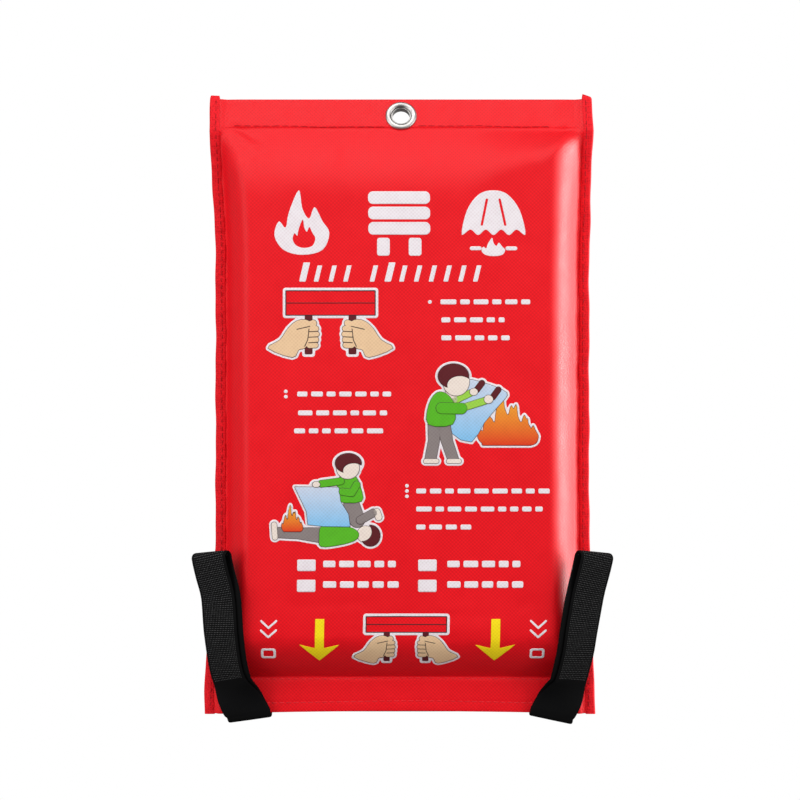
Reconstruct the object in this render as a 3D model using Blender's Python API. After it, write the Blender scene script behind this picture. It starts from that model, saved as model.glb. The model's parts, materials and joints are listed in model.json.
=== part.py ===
"""Soft-pouch fire blanket: a red fabric pouch hung by one eyelet, with a folded
glass-cloth blanket inside and two webbing pull straps folded up over its front.

Metres, +Z up, front towards -Y. The origin is the centre of the eyelet.
The back of the pouch lies in the plane y = WALL_Y.
"""

import math

import bmesh
import bpy
from mathutils import Vector

MM = 0.001
GAP = 0.3 * MM  # between pieces that touch on the real object

# Pouch outline
HALF_WIDTH_TOP = 89.1 * MM
HALF_WIDTH_MIDDLE = 87.2 * MM
HALF_WIDTH_MOUTH = 90.7 * MM
HEADER_TOP_Z = 8.9 * MM
MOUTH_Z = -278.4 * MM
PINCH_TOP_LENGTH = 75.0 * MM  # over which the top narrows to the middle
PINCH_MOUTH_LENGTH = 95.0 * MM  # over which the middle widens to the mouth

# Pouch depth
WALL_Y = 4.5 * MM
POUCH_DEPTH = 20.0 * MM
PANEL_THICKNESS = 0.5 * MM
HEADER_LEAN = math.radians(20.0)
FRONT_SLOPE_HEIGHT = 31.6 * MM  # from the flat header down to the full depth
BACK_SLOPE_HEIGHT = 34.8 * MM
LIP_SLOPE_HEIGHT = 24.0 * MM  # from the full depth down to the crease
HEM_HEIGHT = 17.4 * MM  # flat band between the crease and the mouth
SIDE_SLOPE_LEFT = 13.0 * MM
SIDE_SLOPE_RIGHT = 16.0 * MM
EDGE_SLOPE = 3.0 * MM  # width of the side step at the header and at the mouth
EDGE_STEP = 1.2 * MM  # how far the side edges stand forward of the back face

# Bindings
BINDING_WIDTH = 4.6 * MM
BINDING_THICKNESS = 0.5 * MM
BINDING_RISE = 1.4 * MM  # how far the tapes stand above the header
THREAD_WIDTH = 0.5 * MM
THREAD_DEPTH = 0.3 * MM

# Eyelet
BORE_RADIUS = 4.0 * MM
BARREL_WALL = 0.4 * MM
FLANGE_WIDTH = 3.25 * MM  # from the bore to the flange's rim
FLANGE_RISE = 0.8 * MM
WASHER_THICKNESS = 0.55 * MM
ROLL_WIDTH = 1.6 * MM  # of the rolled rim behind the washer
ROLL_THICKNESS = 0.5 * MM
FLANGE_MARGIN = 0.4 * MM  # flat header below the flange

# Stitch lines and closure
HEADER_STITCH_Z = -4.2 * MM
STITCH_MARGIN = 0.8 * MM  # between a stitch line's end and the side step
CREASE_STITCH_DROP = 1.0 * MM
HEM_STITCH_RISE = 4.7 * MM
CLOSURE_HEIGHT = 14.0 * MM
CLOSURE_TO_STRAP = 3.4 * MM
CLOSURE_RISE = 1.2 * MM  # lower edge of the strips above the mouth edge
HOOK_THICKNESS = 1.3 * MM

# Folded blanket
PACK_SIDE_ROOM = 13.2 * MM  # pouch edge to pack, on each side
PACK_TOP_ROOM = 22.8 * MM  # below the flat header
PACK_LIFT = 35.4 * MM  # above the mouth edge
PACK_FLAT_SIDE = 1.3 * MM  # straight part of the pack's side between its round turns
PACK_END_ROUND = 5.0 * MM
PACK_FRONT_CLEARANCE = 0.8 * MM
HEM_TAPE_THICKNESS = 1.1 * MM
HEM_TAPE_HEIGHT = 15.0 * MM
HEM_TAPE_INSET = 4.0 * MM  # inside the straps' outer edges

# Straps
STRAP_WIDTH = 20.0 * MM
STRAP_EDGE_ROOM = 5.7 * MM  # binding to strap, at the mouth
WEBBING = 1.1 * MM
WEBBING_SPLIT = 0.3 * MM  # between the two layers of the loop
STRAP_RISE = 76.0 * MM  # of the folded strap above its fold
FOLD_DROP = 1.2 * MM  # of the fold's centre below the mouth edge
FOLD_BORE = 1.05 * MM  # inner radius of the webbing's turn round the lip
LOOP_RADIUS = 2.05 * MM  # of the bend at the loop's end
LOOP_STEPS = 20
TAIL_TOP_ROOM = 3.0 * MM  # below the pack
BOX_STITCH_HEIGHT = 10.0 * MM
BOX_STITCH_WIDTH = 14.0 * MM
BOX_STITCH_LINE = 0.9 * MM
BOX_STITCH_INSET = 3.0 * MM  # inwards of the strap's middle, to stay on the hem tape
STRAP_TURN = math.radians(16.0)  # the flat of the strap faces this far outwards
# The folded strap: height above the fold and outward shift as shares of its rise,
# then its forward shift as a share of the pouch's rise in front of the hem
STRAP_ROUTE = (
    (0.0, 0.0, 0.0),
    (0.12, 0.045, 0.19),
    (0.25, 0.108, 0.42),
    (0.38, 0.149, 0.67),
    (0.5, 0.166, 0.87),
    (0.63, 0.178, 0.99),
    (0.79, 0.197, 1.06),
    (1.0, 0.249, 1.09),
)

# Worked out from the sizes above
FLANGE_RADIUS = BORE_RADIUS + FLANGE_WIDTH
HEADER_BOTTOM_Z = -FLANGE_RADIUS * math.cos(HEADER_LEAN) - FLANGE_MARGIN
FRONT_SHOULDER_Z = HEADER_BOTTOM_Z - FRONT_SLOPE_HEIGHT
BACK_SHOULDER_Z = HEADER_BOTTOM_Z - BACK_SLOPE_HEIGHT
CREASE_Z = MOUTH_Z + HEM_HEIGHT
FRONT_HEEL_Z = CREASE_Z + LIP_SLOPE_HEIGHT  # where the front panel ends and the lip starts
DOUBLE = 2 * WEBBING + WEBBING_SPLIT
MOUTH_DEPTH = 2 * PANEL_THICKNESS + 3 * GAP + DOUBLE  # wall plane to the hem's outer face
HEADER_STACK = 2 * PANEL_THICKNESS + GAP
STACK_ACROSS = HEADER_STACK / math.cos(HEADER_LEAN)
FRONT_Y = WALL_Y - POUCH_DEPTH
LIP_Y = WALL_Y - MOUTH_DEPTH
TAIL_BACK_Y = WALL_Y - PANEL_THICKNESS - 2 * GAP
TAIL_FRONT_Y = TAIL_BACK_Y - DOUBLE
TAIL_Y = (TAIL_BACK_Y + TAIL_FRONT_Y) / 2
FOLD_RADIUS = FOLD_BORE + DOUBLE / 2
FOLD_Y = TAIL_Y - FOLD_RADIUS
FOLD_Z = MOUTH_Z - FOLD_DROP
HOOK_FRONT_Y = WALL_Y - PANEL_THICKNESS - GAP - HOOK_THICKNESS
LOOP_FRONT_Y = LIP_Y + PANEL_THICKNESS + GAP
PACK_HALF_WIDTH = HALF_WIDTH_MIDDLE - PACK_SIDE_ROOM
PACK_TOP_Z = HEADER_BOTTOM_Z - PACK_TOP_ROOM
PACK_BOTTOM_Z = MOUTH_Z + PACK_LIFT
PACK_BACK_Y = HOOK_FRONT_Y - GAP
PACK_FRONT_Y = FRONT_Y + PANEL_THICKNESS + PACK_FRONT_CLEARANCE
STRAP_X = HALF_WIDTH_MOUTH - BINDING_WIDTH - STRAP_EDGE_ROOM - STRAP_WIDTH / 2
CLOSURE_HALF_WIDTH = STRAP_X - STRAP_WIDTH / 2 - CLOSURE_TO_STRAP
PACK_CORNER = (PACK_BACK_Y - PACK_FRONT_Y - PACK_FLAT_SIDE) / 2
HEADER_NORMAL = Vector((0, -math.cos(HEADER_LEAN), math.sin(HEADER_LEAN)))
HEADER_UP = Vector((0, math.sin(HEADER_LEAN), math.cos(HEADER_LEAN)))


def colour(red, green, blue):
    """A linear colour from an 8-bit display colour."""
    parts = [c / 255 for c in (red, green, blue)]
    return [c / 12.92 if c < 0.04045 else ((c + 0.055) / 1.055) ** 2.4 for c in parts] + [1.0]


FINISHES = {
    "laminated_fabric": (colour(226, 32, 42), 0.55, 0.0),
    "binding_tape": (colour(208, 30, 38), 0.8, 0.0),
    "red_thread": (colour(214, 40, 46), 0.7, 0.0),
    "hook_tape": (colour(150, 16, 22), 0.9, 0.0),
    "nickel": (colour(215, 208, 204), 0.2, 1.0),
    "glass_cloth": (colour(232, 230, 222), 0.75, 0.0),
    "black_webbing": (colour(26, 26, 27), 0.8, 0.0),
    "black_thread": (colour(36, 36, 38), 0.7, 0.0),
}


def clear_scene():
    for item in list(bpy.data.objects):
        bpy.data.objects.remove(item, do_unlink=True)


def finish_material(finish):
    made = bpy.data.materials.get(finish)
    if made:
        return made
    made = bpy.data.materials.new(finish)
    made.use_nodes = True
    shader = made.node_tree.nodes["Principled BSDF"]
    base, roughness, metallic = FINISHES[finish]
    shader.inputs["Base Color"].default_value = base
    shader.inputs["Roughness"].default_value = roughness
    shader.inputs["Metallic"].default_value = metallic
    return made


def add_object(name, bm, finish, parent=None, smooth=None):
    """Makes one node from a bmesh. Under a parent, its origin is the parent's."""
    bmesh.ops.recalc_face_normals(bm, faces=bm.faces)
    mesh = bpy.data.meshes.new(name)
    if parent:
        bmesh.ops.translate(bm, verts=bm.verts, vec=-parent.location)
    bm.to_mesh(mesh)
    bm.free()
    mesh.materials.append(finish_material(finish))
    if smooth:
        mesh.shade_smooth()
        mesh.set_sharp_from_angle(angle=math.radians(smooth))
    made = bpy.data.objects.new(name, mesh)
    made.parent = parent
    bpy.context.scene.collection.objects.link(made)
    return made


def add_pivot(name, place, parent=None):
    pivot = bpy.data.objects.new(name, None)
    pivot.location = place
    pivot.parent = parent
    bpy.context.scene.collection.objects.link(pivot)
    return pivot


def ease(share):
    """0 to 1 with a firm start and a flat end, as cloth leaves a seam and lies down."""
    return math.sin(math.pi / 2 * min(max(share, 0.0), 1.0))


def settle(share):
    """0 to 1, flat at both ends."""
    held = min(max(share, 0.0), 1.0)
    return held * held * (3 - 2 * held)


# ---------------------------------------------------------------- pouch surfaces


def half_width(z):
    top = 1 - settle(-z / PINCH_TOP_LENGTH)
    mouth = 1 - settle((z - MOUTH_Z) / PINCH_MOUTH_LENGTH)
    wide = (HALF_WIDTH_TOP - HALF_WIDTH_MIDDLE) * top
    return HALF_WIDTH_MIDDLE + wide + (HALF_WIDTH_MOUTH - HALF_WIDTH_MIDDLE) * mouth


def edge_x(z):
    """Where the side seam's flat margin begins."""
    return half_width(z) - BINDING_WIDTH - GAP


def header_back_y(z):
    return STACK_ACROSS / 2 + z * math.tan(HEADER_LEAN)


def back_y(z):
    """Outer face of the back panel down its middle."""
    if z >= HEADER_BOTTOM_Z:
        return header_back_y(z)
    start = header_back_y(HEADER_BOTTOM_Z)
    share = (HEADER_BOTTOM_Z - z) / (HEADER_BOTTOM_Z - BACK_SHOULDER_Z)
    return start + (WALL_Y - start) * ease(share)


def front_fullness(z):
    """0 at the header and at the hem, 1 over the folded blanket."""
    if z > FRONT_SHOULDER_Z:
        return ease((HEADER_BOTTOM_Z - z) / (HEADER_BOTTOM_Z - FRONT_SHOULDER_Z))
    return ease((z - CREASE_Z) / (FRONT_HEEL_Z - CREASE_Z))


def front_y(z):
    """Outer face of the front down its middle."""
    if z >= HEADER_BOTTOM_Z:
        return header_back_y(z) - STACK_ACROSS
    if z > FRONT_SHOULDER_Z:
        start = header_back_y(HEADER_BOTTOM_Z) - STACK_ACROSS
    else:
        start = LIP_Y
    return start + (FRONT_Y - start) * front_fullness(z)


def step_share(x, z):
    return settle((abs(x) - edge_x(z) + EDGE_SLOPE) / EDGE_SLOPE)


def back_face(x, z):
    return back_y(z) - EDGE_STEP * step_share(x, z)


def side_slope(x, z):
    full = SIDE_SLOPE_LEFT if x < 0 else SIDE_SLOPE_RIGHT
    return EDGE_SLOPE + (full - EDGE_SLOPE) * front_fullness(z)


def front_face(x, z):
    edge = back_y(z) - EDGE_STEP - STACK_ACROSS
    inwards = (edge_x(z) - abs(x)) / side_slope(x, z)
    if z >= HEADER_BOTTOM_Z:
        return front_y(z) - EDGE_STEP * step_share(x, z)
    return edge + (front_y(z) - edge) * ease(inwards)


# ---------------------------------------------------------------- mesh helpers


def add_grid(bm, rows):
    """Verts and quads over rows of points. Returns the rows of verts."""
    made = [[bm.verts.new(point) for point in row] for row in rows]
    for above, below in zip(made, made[1:]):
        for i in range(len(above) - 1):
            bm.faces.new((above[i], above[i + 1], below[i + 1], below[i]))
    return made


def closed_sheet(outer_rows, inner_rows):
    """A closed shell between two grids of the same size."""
    bm = bmesh.new()
    outer = add_grid(bm, outer_rows)
    inner = add_grid(bm, inner_rows)
    for row_a, row_b in ((outer[0], inner[0]), (outer[-1], inner[-1])):
        for i in range(len(row_a) - 1):
            bm.faces.new((row_a[i], row_a[i + 1], row_b[i + 1], row_b[i]))
    for column in (0, -1):
        for i in range(len(outer) - 1):
            a, b = outer[i][column], outer[i + 1][column]
            c, d = inner[i + 1][column], inner[i][column]
            bm.faces.new((a, b, c, d))
    return bm


def loft(sections, caps):
    """A solid through closed sections, with each end filled by the faces in caps."""
    bm = bmesh.new()
    rings = [[bm.verts.new(point) for point in section] for section in sections]
    count = len(rings[0])
    for first, second in zip(rings, rings[1:]):
        for i in range(count):
            j = (i + 1) % count
            bm.faces.new((first[i], first[j], second[j], second[i]))
    for ring in (rings[0], rings[-1]):
        for cap in caps:
            bm.faces.new([ring[i] for i in cap])
    return bm


def box(low, high, bevel=0.0):
    bm = bmesh.new()
    made = bmesh.ops.create_cube(bm, size=1.0)
    size = Vector(high) - Vector(low)
    bmesh.ops.scale(bm, vec=size, verts=made["verts"])
    bmesh.ops.translate(bm, vec=(Vector(high) + Vector(low)) / 2, verts=made["verts"])
    if bevel:
        bmesh.ops.bevel(bm, geom=bm.edges[:], offset=bevel, segments=2, affect="EDGES")
    return bm


def spread(low, high, count):
    return [low + (high - low) * i / count for i in range(count + 1)]


def smooth_route(points, count):
    """A curve through the points, as evenly numbered points along it."""
    ends = [2 * points[0] - points[1]] + list(points) + [2 * points[-1] - points[-2]]
    route = []
    for k in range(count + 1):
        at = k / count * (len(points) - 1)
        i = min(int(at), len(points) - 2)
        t = at - i
        a, b, c, d = ends[i : i + 4]
        bend = (2 * a - 5 * b + 4 * c - d) * t * t + (3 * b - 3 * c + d - a) * t ** 3
        route.append((2 * b + (c - a) * t + bend) / 2)
    return route


# ---------------------------------------------------------------- pouch


def panel_columns(z, side_steps, middle_steps):
    """X stations across the pouch, close together on the side slopes."""
    outer = half_width(z) - BINDING_THICKNESS - GAP
    left = edge_x(z) - side_slope(-1, z)
    right = edge_x(z) - side_slope(1, z)
    xs = [-outer]
    xs += spread(-edge_x(z), -left, side_steps)
    xs += spread(-left, right, middle_steps)[1:-1]
    xs += spread(right, edge_x(z), side_steps)
    return xs + [outer]


def sheet_rows(levels, face, inward, side_steps=6, middle_steps=4):
    outer, inner = [], []
    for z in levels:
        xs = panel_columns(z, side_steps, middle_steps)
        outer.append([(x, face(x, z), z) for x in xs])
        inner.append([(x, face(x, z) + inward, z) for x in xs])
    return outer, inner


def header_levels():
    return spread(HEADER_TOP_Z, HEADER_BOTTOM_Z, 4)


def pierce_eyelet(panel, cutter):
    hole = panel.modifiers.new("eyelet_hole", "BOOLEAN")
    hole.operation = "DIFFERENCE"
    hole.solver = "EXACT"
    hole.object = cutter


def eyelet_cutter():
    bm = bmesh.new()
    radius = BORE_RADIUS + BARREL_WALL + GAP
    bmesh.ops.create_cone(
        bm, cap_ends=True, segments=28, radius1=radius, radius2=radius, depth=8 * MM
    )
    turn = Vector((0, 0, 1)).rotation_difference(HEADER_NORMAL).to_matrix()
    bmesh.ops.rotate(bm, verts=bm.verts, cent=(0, 0, 0), matrix=turn)
    cutter = add_object("eyelet_hole_cutter", bm, "nickel")
    cutter.hide_render = True
    cutter.display_type = "WIRE"
    return cutter


def make_front_panel(cutter):
    levels = header_levels()
    levels += spread(HEADER_BOTTOM_Z, FRONT_SHOULDER_Z, 7)[1:]
    levels += spread(FRONT_SHOULDER_Z, FRONT_HEEL_Z, 6)[1:]
    outer, inner = sheet_rows(levels, front_face, PANEL_THICKNESS)
    panel = add_object("pouch_front_panel", closed_sheet(outer, inner), "laminated_fabric", smooth=35)
    pierce_eyelet(panel, cutter)


def make_front_lip():
    levels = spread(FRONT_HEEL_Z - GAP, CREASE_Z, 7) + spread(CREASE_Z, MOUTH_Z, 3)[1:]
    outer, inner = sheet_rows(levels, front_face, PANEL_THICKNESS)
    add_object("pouch_front_lip", closed_sheet(outer, inner), "laminated_fabric", smooth=35)


def make_back_panel(cutter):
    levels = header_levels()
    levels += spread(HEADER_BOTTOM_Z, BACK_SHOULDER_Z, 6)[1:]
    levels += spread(BACK_SHOULDER_Z, MOUTH_Z, 8)[1:]
    outer, inner = [], []
    for z in levels:
        edge = edge_x(z)
        rim = half_width(z) - BINDING_THICKNESS - GAP
        steps = spread(edge - EDGE_SLOPE, edge, 4)
        xs = [-rim] + [-x for x in reversed(steps)] + [-edge / 3, edge / 3] + steps + [rim]
        outer.append([(x, back_face(x, z), z) for x in xs])
        inner.append([(x, back_face(x, z) - PANEL_THICKNESS, z) for x in xs])
    panel = add_object("pouch_back_panel", closed_sheet(outer, inner), "laminated_fabric", smooth=35)
    pierce_eyelet(panel, cutter)


def binding_levels():
    levels = spread(HEADER_TOP_Z + BINDING_RISE, HEADER_BOTTOM_Z, 3)
    levels += spread(HEADER_BOTTOM_Z, BACK_SHOULDER_Z, 6)[1:]
    return levels + spread(BACK_SHOULDER_Z, MOUTH_Z, 8)[1:]


def binding_faces(z):
    """Back and front faces of the two panel edges that the tape wraps."""
    back = back_y(z) - EDGE_STEP
    return back, back - STACK_ACROSS


def make_binding(side, name):
    sections = []
    for z in binding_levels():
        back, front = binding_faces(z)
        rim = half_width(z)
        inner = rim - BINDING_WIDTH
        slot = rim - BINDING_THICKNESS
        slot_front, slot_back = front - GAP, back + GAP
        face_front, face_back = slot_front - BINDING_THICKNESS, slot_back + BINDING_THICKNESS
        profile = (
            (inner, face_front),
            (rim, face_front),
            (rim, face_back),
            (inner, face_back),
            (inner, slot_back),
            (slot, slot_back),
            (slot, slot_front),
            (inner, slot_front),
        )
        sections.append([(side * x, y, z) for x, y in profile])
    caps = ((0, 1, 6, 7), (1, 2, 5, 6), (2, 3, 4, 5))
    add_object("binding_" + name, loft(sections, caps), "binding_tape")


def thread_bar(points, across, depth_dir):
    """A flat thread along points: across is its half width, depth_dir its thickness."""
    sections = []
    for point in points:
        far = point + depth_dir
        sections.append([point - across, point + across, far + across, far - across])
    return loft(sections, ((0, 1, 2, 3),))


def make_binding_thread(side, name):
    points = []
    for z in binding_levels()[1:]:
        front = binding_faces(z)[1] - BINDING_THICKNESS - 2 * GAP
        points.append(Vector((side * (half_width(z) - BINDING_WIDTH * 0.7), front, z)))
    bar = thread_bar(points, Vector((THREAD_WIDTH / 2, 0, 0)), Vector((0, -THREAD_DEPTH, 0)))
    add_object("binding_thread_" + name, bar, "red_thread")


def make_header_thread(side, name):
    out = HEADER_NORMAL * (HEADER_STACK / 2 + GAP)
    down = HEADER_UP * (HEADER_STITCH_Z / math.cos(HEADER_LEAN))
    start = FLANGE_RADIUS + GAP
    end = edge_x(HEADER_STITCH_Z) - EDGE_SLOPE - STITCH_MARGIN
    points = [Vector((side * x, 0, 0)) + out + down for x in (start, end)]
    bar = thread_bar(points, HEADER_UP * THREAD_WIDTH / 2, HEADER_NORMAL * THREAD_DEPTH)
    add_object("header_thread_" + name, bar, "red_thread")


def make_mouth_thread(name, z):
    y = LIP_Y - GAP
    reach = edge_x(z) - EDGE_SLOPE - STITCH_MARGIN
    points = [Vector((x, y, z)) for x in (-reach, reach)]
    bar = thread_bar(points, Vector((0, 0, THREAD_WIDTH / 2)), Vector((0, -THREAD_DEPTH, 0)))
    add_object("mouth_thread_" + name, bar, "red_thread")


def make_closure():
    low = MOUTH_Z + CLOSURE_RISE
    high = low + CLOSURE_HEIGHT
    wide = CLOSURE_HALF_WIDTH
    hook = box((-wide, HOOK_FRONT_Y, low), (wide, HOOK_FRONT_Y + HOOK_THICKNESS, high), 0.2 * MM)
    add_object("closure_hook_strip", hook, "hook_tape")
    loop = box((-wide, LOOP_FRONT_Y, low), (wide, HOOK_FRONT_Y - GAP, high), 0.2 * MM)
    add_object("closure_loop_strip", loop, "hook_tape")


# ---------------------------------------------------------------- eyelet


def revolve(profile, steps=36):
    """Turns a closed profile of (radius, height) about the eyelet's axis."""
    bm = bmesh.new()
    rings = []
    for k in range(steps):
        turn = 2 * math.pi * k / steps
        out = Vector((1, 0, 0)) * math.cos(turn) + HEADER_UP * math.sin(turn)
        rings.append([bm.verts.new(out * r + HEADER_NORMAL * h) for r, h in profile])
    for k in range(steps):
        ring, following = rings[k], rings[(k + 1) % steps]
        for i in range(len(profile)):
            j = (i + 1) % len(profile)
            bm.faces.new((ring[i], ring[j], following[j], following[i]))
    return bm


def make_eyelet():
    seat = HEADER_STACK / 2 + GAP
    barrel = BORE_RADIUS + BARREL_WALL
    crown = seat + FLANGE_RISE
    roll_top = -seat - WASHER_THICKNESS - GAP
    roll_bottom = roll_top - ROLL_THICKNESS
    soft = FLANGE_RISE * 0.35
    profile = (
        (BORE_RADIUS, roll_bottom + soft),
        (BORE_RADIUS, crown - soft),
        (BORE_RADIUS + soft, crown),
        (FLANGE_RADIUS - 2 * soft, crown - soft / 2),
        (FLANGE_RADIUS - soft / 2, seat + soft),
        (FLANGE_RADIUS, seat),
        (barrel, seat),
        (barrel, roll_top),
        (BORE_RADIUS + ROLL_WIDTH, roll_top),
        (BORE_RADIUS + ROLL_WIDTH - soft / 2, roll_bottom + soft / 2),
        (BORE_RADIUS + soft, roll_bottom),
    )
    add_object("eyelet_barrel", revolve(profile), "nickel", smooth=40)
    washer_hole = barrel + GAP
    washer = (
        (washer_hole, -seat),
        (FLANGE_RADIUS, -seat),
        (FLANGE_RADIUS, -seat - WASHER_THICKNESS * 0.6),
        (FLANGE_RADIUS - soft, -seat - WASHER_THICKNESS),
        (washer_hole, -seat - WASHER_THICKNESS),
    )
    add_object("eyelet_washer", revolve(washer), "nickel", smooth=40)


# ---------------------------------------------------------------- blanket


def rounded_outline(half_x, low_y, high_y, radius, z, steps=5):
    """A rectangle with round corners, in the plane at height z."""
    points = []
    corners = (
        (half_x - radius, high_y - radius, 0),
        (-half_x + radius, high_y - radius, 1),
        (-half_x + radius, low_y + radius, 2),
        (half_x - radius, low_y + radius, 3),
    )
    for x, y, quarter in corners:
        for k in range(steps + 1):
            turn = math.pi / 2 * (quarter + k / steps)
            points.append((x + radius * math.cos(turn), y + radius * math.sin(turn), z))
    return points


def make_blanket(body):
    sections = []
    ends = [math.pi / 2 * k / 4 for k in range(5)]
    levels = [(PACK_BOTTOM_Z + PACK_END_ROUND * (1 - math.sin(a)), math.cos(a)) for a in reversed(ends)]
    levels += [(PACK_TOP_Z - PACK_END_ROUND * (1 - math.sin(a)), math.cos(a)) for a in ends]
    for z, fall in levels:
        inset = PACK_END_ROUND * (1 - fall)
        sections.append(
            rounded_outline(
                PACK_HALF_WIDTH - inset,
                PACK_FRONT_Y + inset,
                PACK_BACK_Y - inset,
                PACK_CORNER - inset,
                z,
            )
        )
    every = tuple(range(len(sections[0])))
    add_object("blanket", loft(sections, (every,)), "glass_cloth", body, smooth=40)


def hem_tape_span():
    top = PACK_BOTTOM_Z - GAP
    return top - HEM_TAPE_HEIGHT, top


def make_hem_tape(body):
    low, high = hem_tape_span()
    back = TAIL_FRONT_Y - GAP
    reach = STRAP_X + STRAP_WIDTH / 2 - HEM_TAPE_INSET
    tape = box((-reach, back - HEM_TAPE_THICKNESS, low), (reach, back, high), 0.3 * MM)
    add_object("blanket_hem_tape", tape, "glass_cloth", body)


# ---------------------------------------------------------------- straps


def make_tail(side, name, body):
    x = side * STRAP_X
    low = (x - STRAP_WIDTH / 2, TAIL_FRONT_Y, FOLD_Z + GAP)
    high = (x + STRAP_WIDTH / 2, TAIL_BACK_Y, PACK_BOTTOM_Z - TAIL_TOP_ROOM)
    add_object("strap_" + name + "_root", box(low, high, 0.3 * MM), "black_webbing", body)


def make_box_stitch(side, name, body):
    """A square of stitching with a cross in it, sewn through the hem tape."""
    low_z, high_z = hem_tape_span()
    middle = Vector((side * (STRAP_X - BOX_STITCH_INSET), 0, (low_z + high_z) / 2))
    front = TAIL_FRONT_Y - GAP - HEM_TAPE_THICKNESS - GAP
    wide, tall, line = BOX_STITCH_WIDTH / 2, BOX_STITCH_HEIGHT / 2, BOX_STITCH_LINE
    bm = bmesh.new()

    def outline(points):
        made = [bm.verts.new(middle + Vector((x, front, z))) for x, z in points]
        for i, vert in enumerate(made):
            bm.edges.new((vert, made[(i + 1) % len(made)]))

    outline(((-wide, -tall), (wide, -tall), (wide, tall), (-wide, tall)))
    inner_x, inner_z = wide - line, tall - line
    reach_x, reach_z = inner_x - 1.4 * line, inner_z - line
    outline(((-reach_x, -inner_z), (reach_x, -inner_z), (0, -line)))
    outline(((-reach_x, inner_z), (reach_x, inner_z), (0, line)))
    outline(((-inner_x, -reach_z), (-inner_x, reach_z), (-1.4 * line, 0)))
    outline(((inner_x, -reach_z), (inner_x, reach_z), (1.4 * line, 0)))
    filled = bmesh.ops.triangle_fill(bm, edges=bm.edges[:], use_beauty=True)
    flat = [item for item in filled["geom"] if isinstance(item, bmesh.types.BMFace)]
    raised = bmesh.ops.extrude_face_region(bm, geom=flat)
    moved = [item for item in raised["geom"] if isinstance(item, bmesh.types.BMVert)]
    bmesh.ops.translate(bm, verts=moved, vec=(0, -THREAD_DEPTH, 0))
    add_object("strap_" + name + "_stitching", bm, "black_thread", body)


def make_fold(side, name, body):
    """The doubled webbing turning up round the lip's edge."""
    sections = []
    for k in range(13):
        turn = math.pi * k / 12
        out = Vector((0, math.cos(turn), -math.sin(turn)))
        centre = Vector((side * STRAP_X, FOLD_Y, FOLD_Z))
        half = Vector((STRAP_WIDTH / 2, 0, 0))
        near = centre + out * (FOLD_RADIUS - DOUBLE / 2)
        far = centre + out * (FOLD_RADIUS + DOUBLE / 2)
        sections.append([near - half, near + half, far + half, far - half])
    add_object("strap_" + name + "_fold", loft(sections, ((0, 1, 2, 3),)), "black_webbing", body)


def strap_frames(side):
    """Centre, outward normal and half-width vector along the folded strap."""
    start = Vector((side * STRAP_X, FOLD_Y - FOLD_RADIUS, FOLD_Z + GAP))
    points = []
    for up, out, forward in STRAP_ROUTE:
        shift = (side * out * STRAP_RISE, -forward * (LIP_Y - FRONT_Y), up * STRAP_RISE)
        points.append(start + Vector(shift))
    route = smooth_route(points, LOOP_STEPS)
    frames = []
    for i, point in enumerate(route):
        along = (route[min(i + 1, LOOP_STEPS)] - route[max(i - 1, 0)]).normalized()
        if i == 0:
            along = Vector((0, 0, 1))
        turn = STRAP_TURN * settle(i / 8)
        facing = Vector((side * math.sin(turn), -math.cos(turn), 0))
        across = along.cross(facing).normalized()
        half = Vector((1, 0, 0)).lerp(across, settle(i / 6)).normalized() * STRAP_WIDTH / 2
        frames.append((point, half.cross(along).normalized(), half))
    return frames


def make_loop(side, name, body):
    frames = strap_frames(side)
    spacing = (WEBBING + WEBBING_SPLIT) / 2
    back, front = [], []
    for i, (point, normal, half) in enumerate(frames):
        parting = settle(4 * i / LOOP_STEPS - 3)  # over the last quarter
        opening = spacing + (LOOP_RADIUS - spacing) * parting
        back.append((point - normal * opening, normal, half))
        front.append((point + normal * opening, -normal, half))
    point, normal, half = frames[-1]
    along = (frames[-1][0] - frames[-2][0]).normalized()
    turned = []
    for k in range(1, 8):
        turn = math.pi * k / 8
        out = -normal * math.cos(turn) + along * math.sin(turn)
        turned.append((point + out * LOOP_RADIUS, -out, half))
    sections = []
    for centre, inwards, wide in back + turned + front[::-1]:
        near = centre + inwards * WEBBING / 2
        far = centre - inwards * WEBBING / 2
        sections.append([near - wide, near + wide, far + wide, far - wide])
    add_object("strap_" + name + "_loop", loft(sections, ((0, 1, 2, 3),)), "black_webbing", body, smooth=40)


def build():
    clear_scene()
    cutter = eyelet_cutter()
    make_front_panel(cutter)
    make_front_lip()
    make_back_panel(cutter)
    for side, name in ((-1, "left"), (1, "right")):
        make_binding(side, name)
        make_binding_thread(side, name)
        make_header_thread(side, name)
    make_mouth_thread("upper", CREASE_Z - CREASE_STITCH_DROP)
    make_mouth_thread("lower", MOUTH_Z + HEM_STITCH_RISE)
    make_closure()
    make_eyelet()
    blanket_pull = add_pivot("blanket_pull", (0, 0, PACK_BOTTOM_Z))
    make_blanket(blanket_pull)
    make_hem_tape(blanket_pull)
    for side, name in ((-1, "left"), (1, "right")):
        make_tail(side, name, blanket_pull)
        make_box_stitch(side, name, blanket_pull)
        hinge = add_pivot("strap_" + name + "_hinge", (side * STRAP_X, FOLD_Y, FOLD_Z))
        make_fold(side, name, hinge)
        make_loop(side, name, hinge)


build()
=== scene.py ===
"""Looks of the soft-pouch fire blanket: laminated red pouch, bindings, stitching, print,
nickel eyelet, folded glass cloth and black webbing straps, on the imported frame."""

import json
import math

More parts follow.
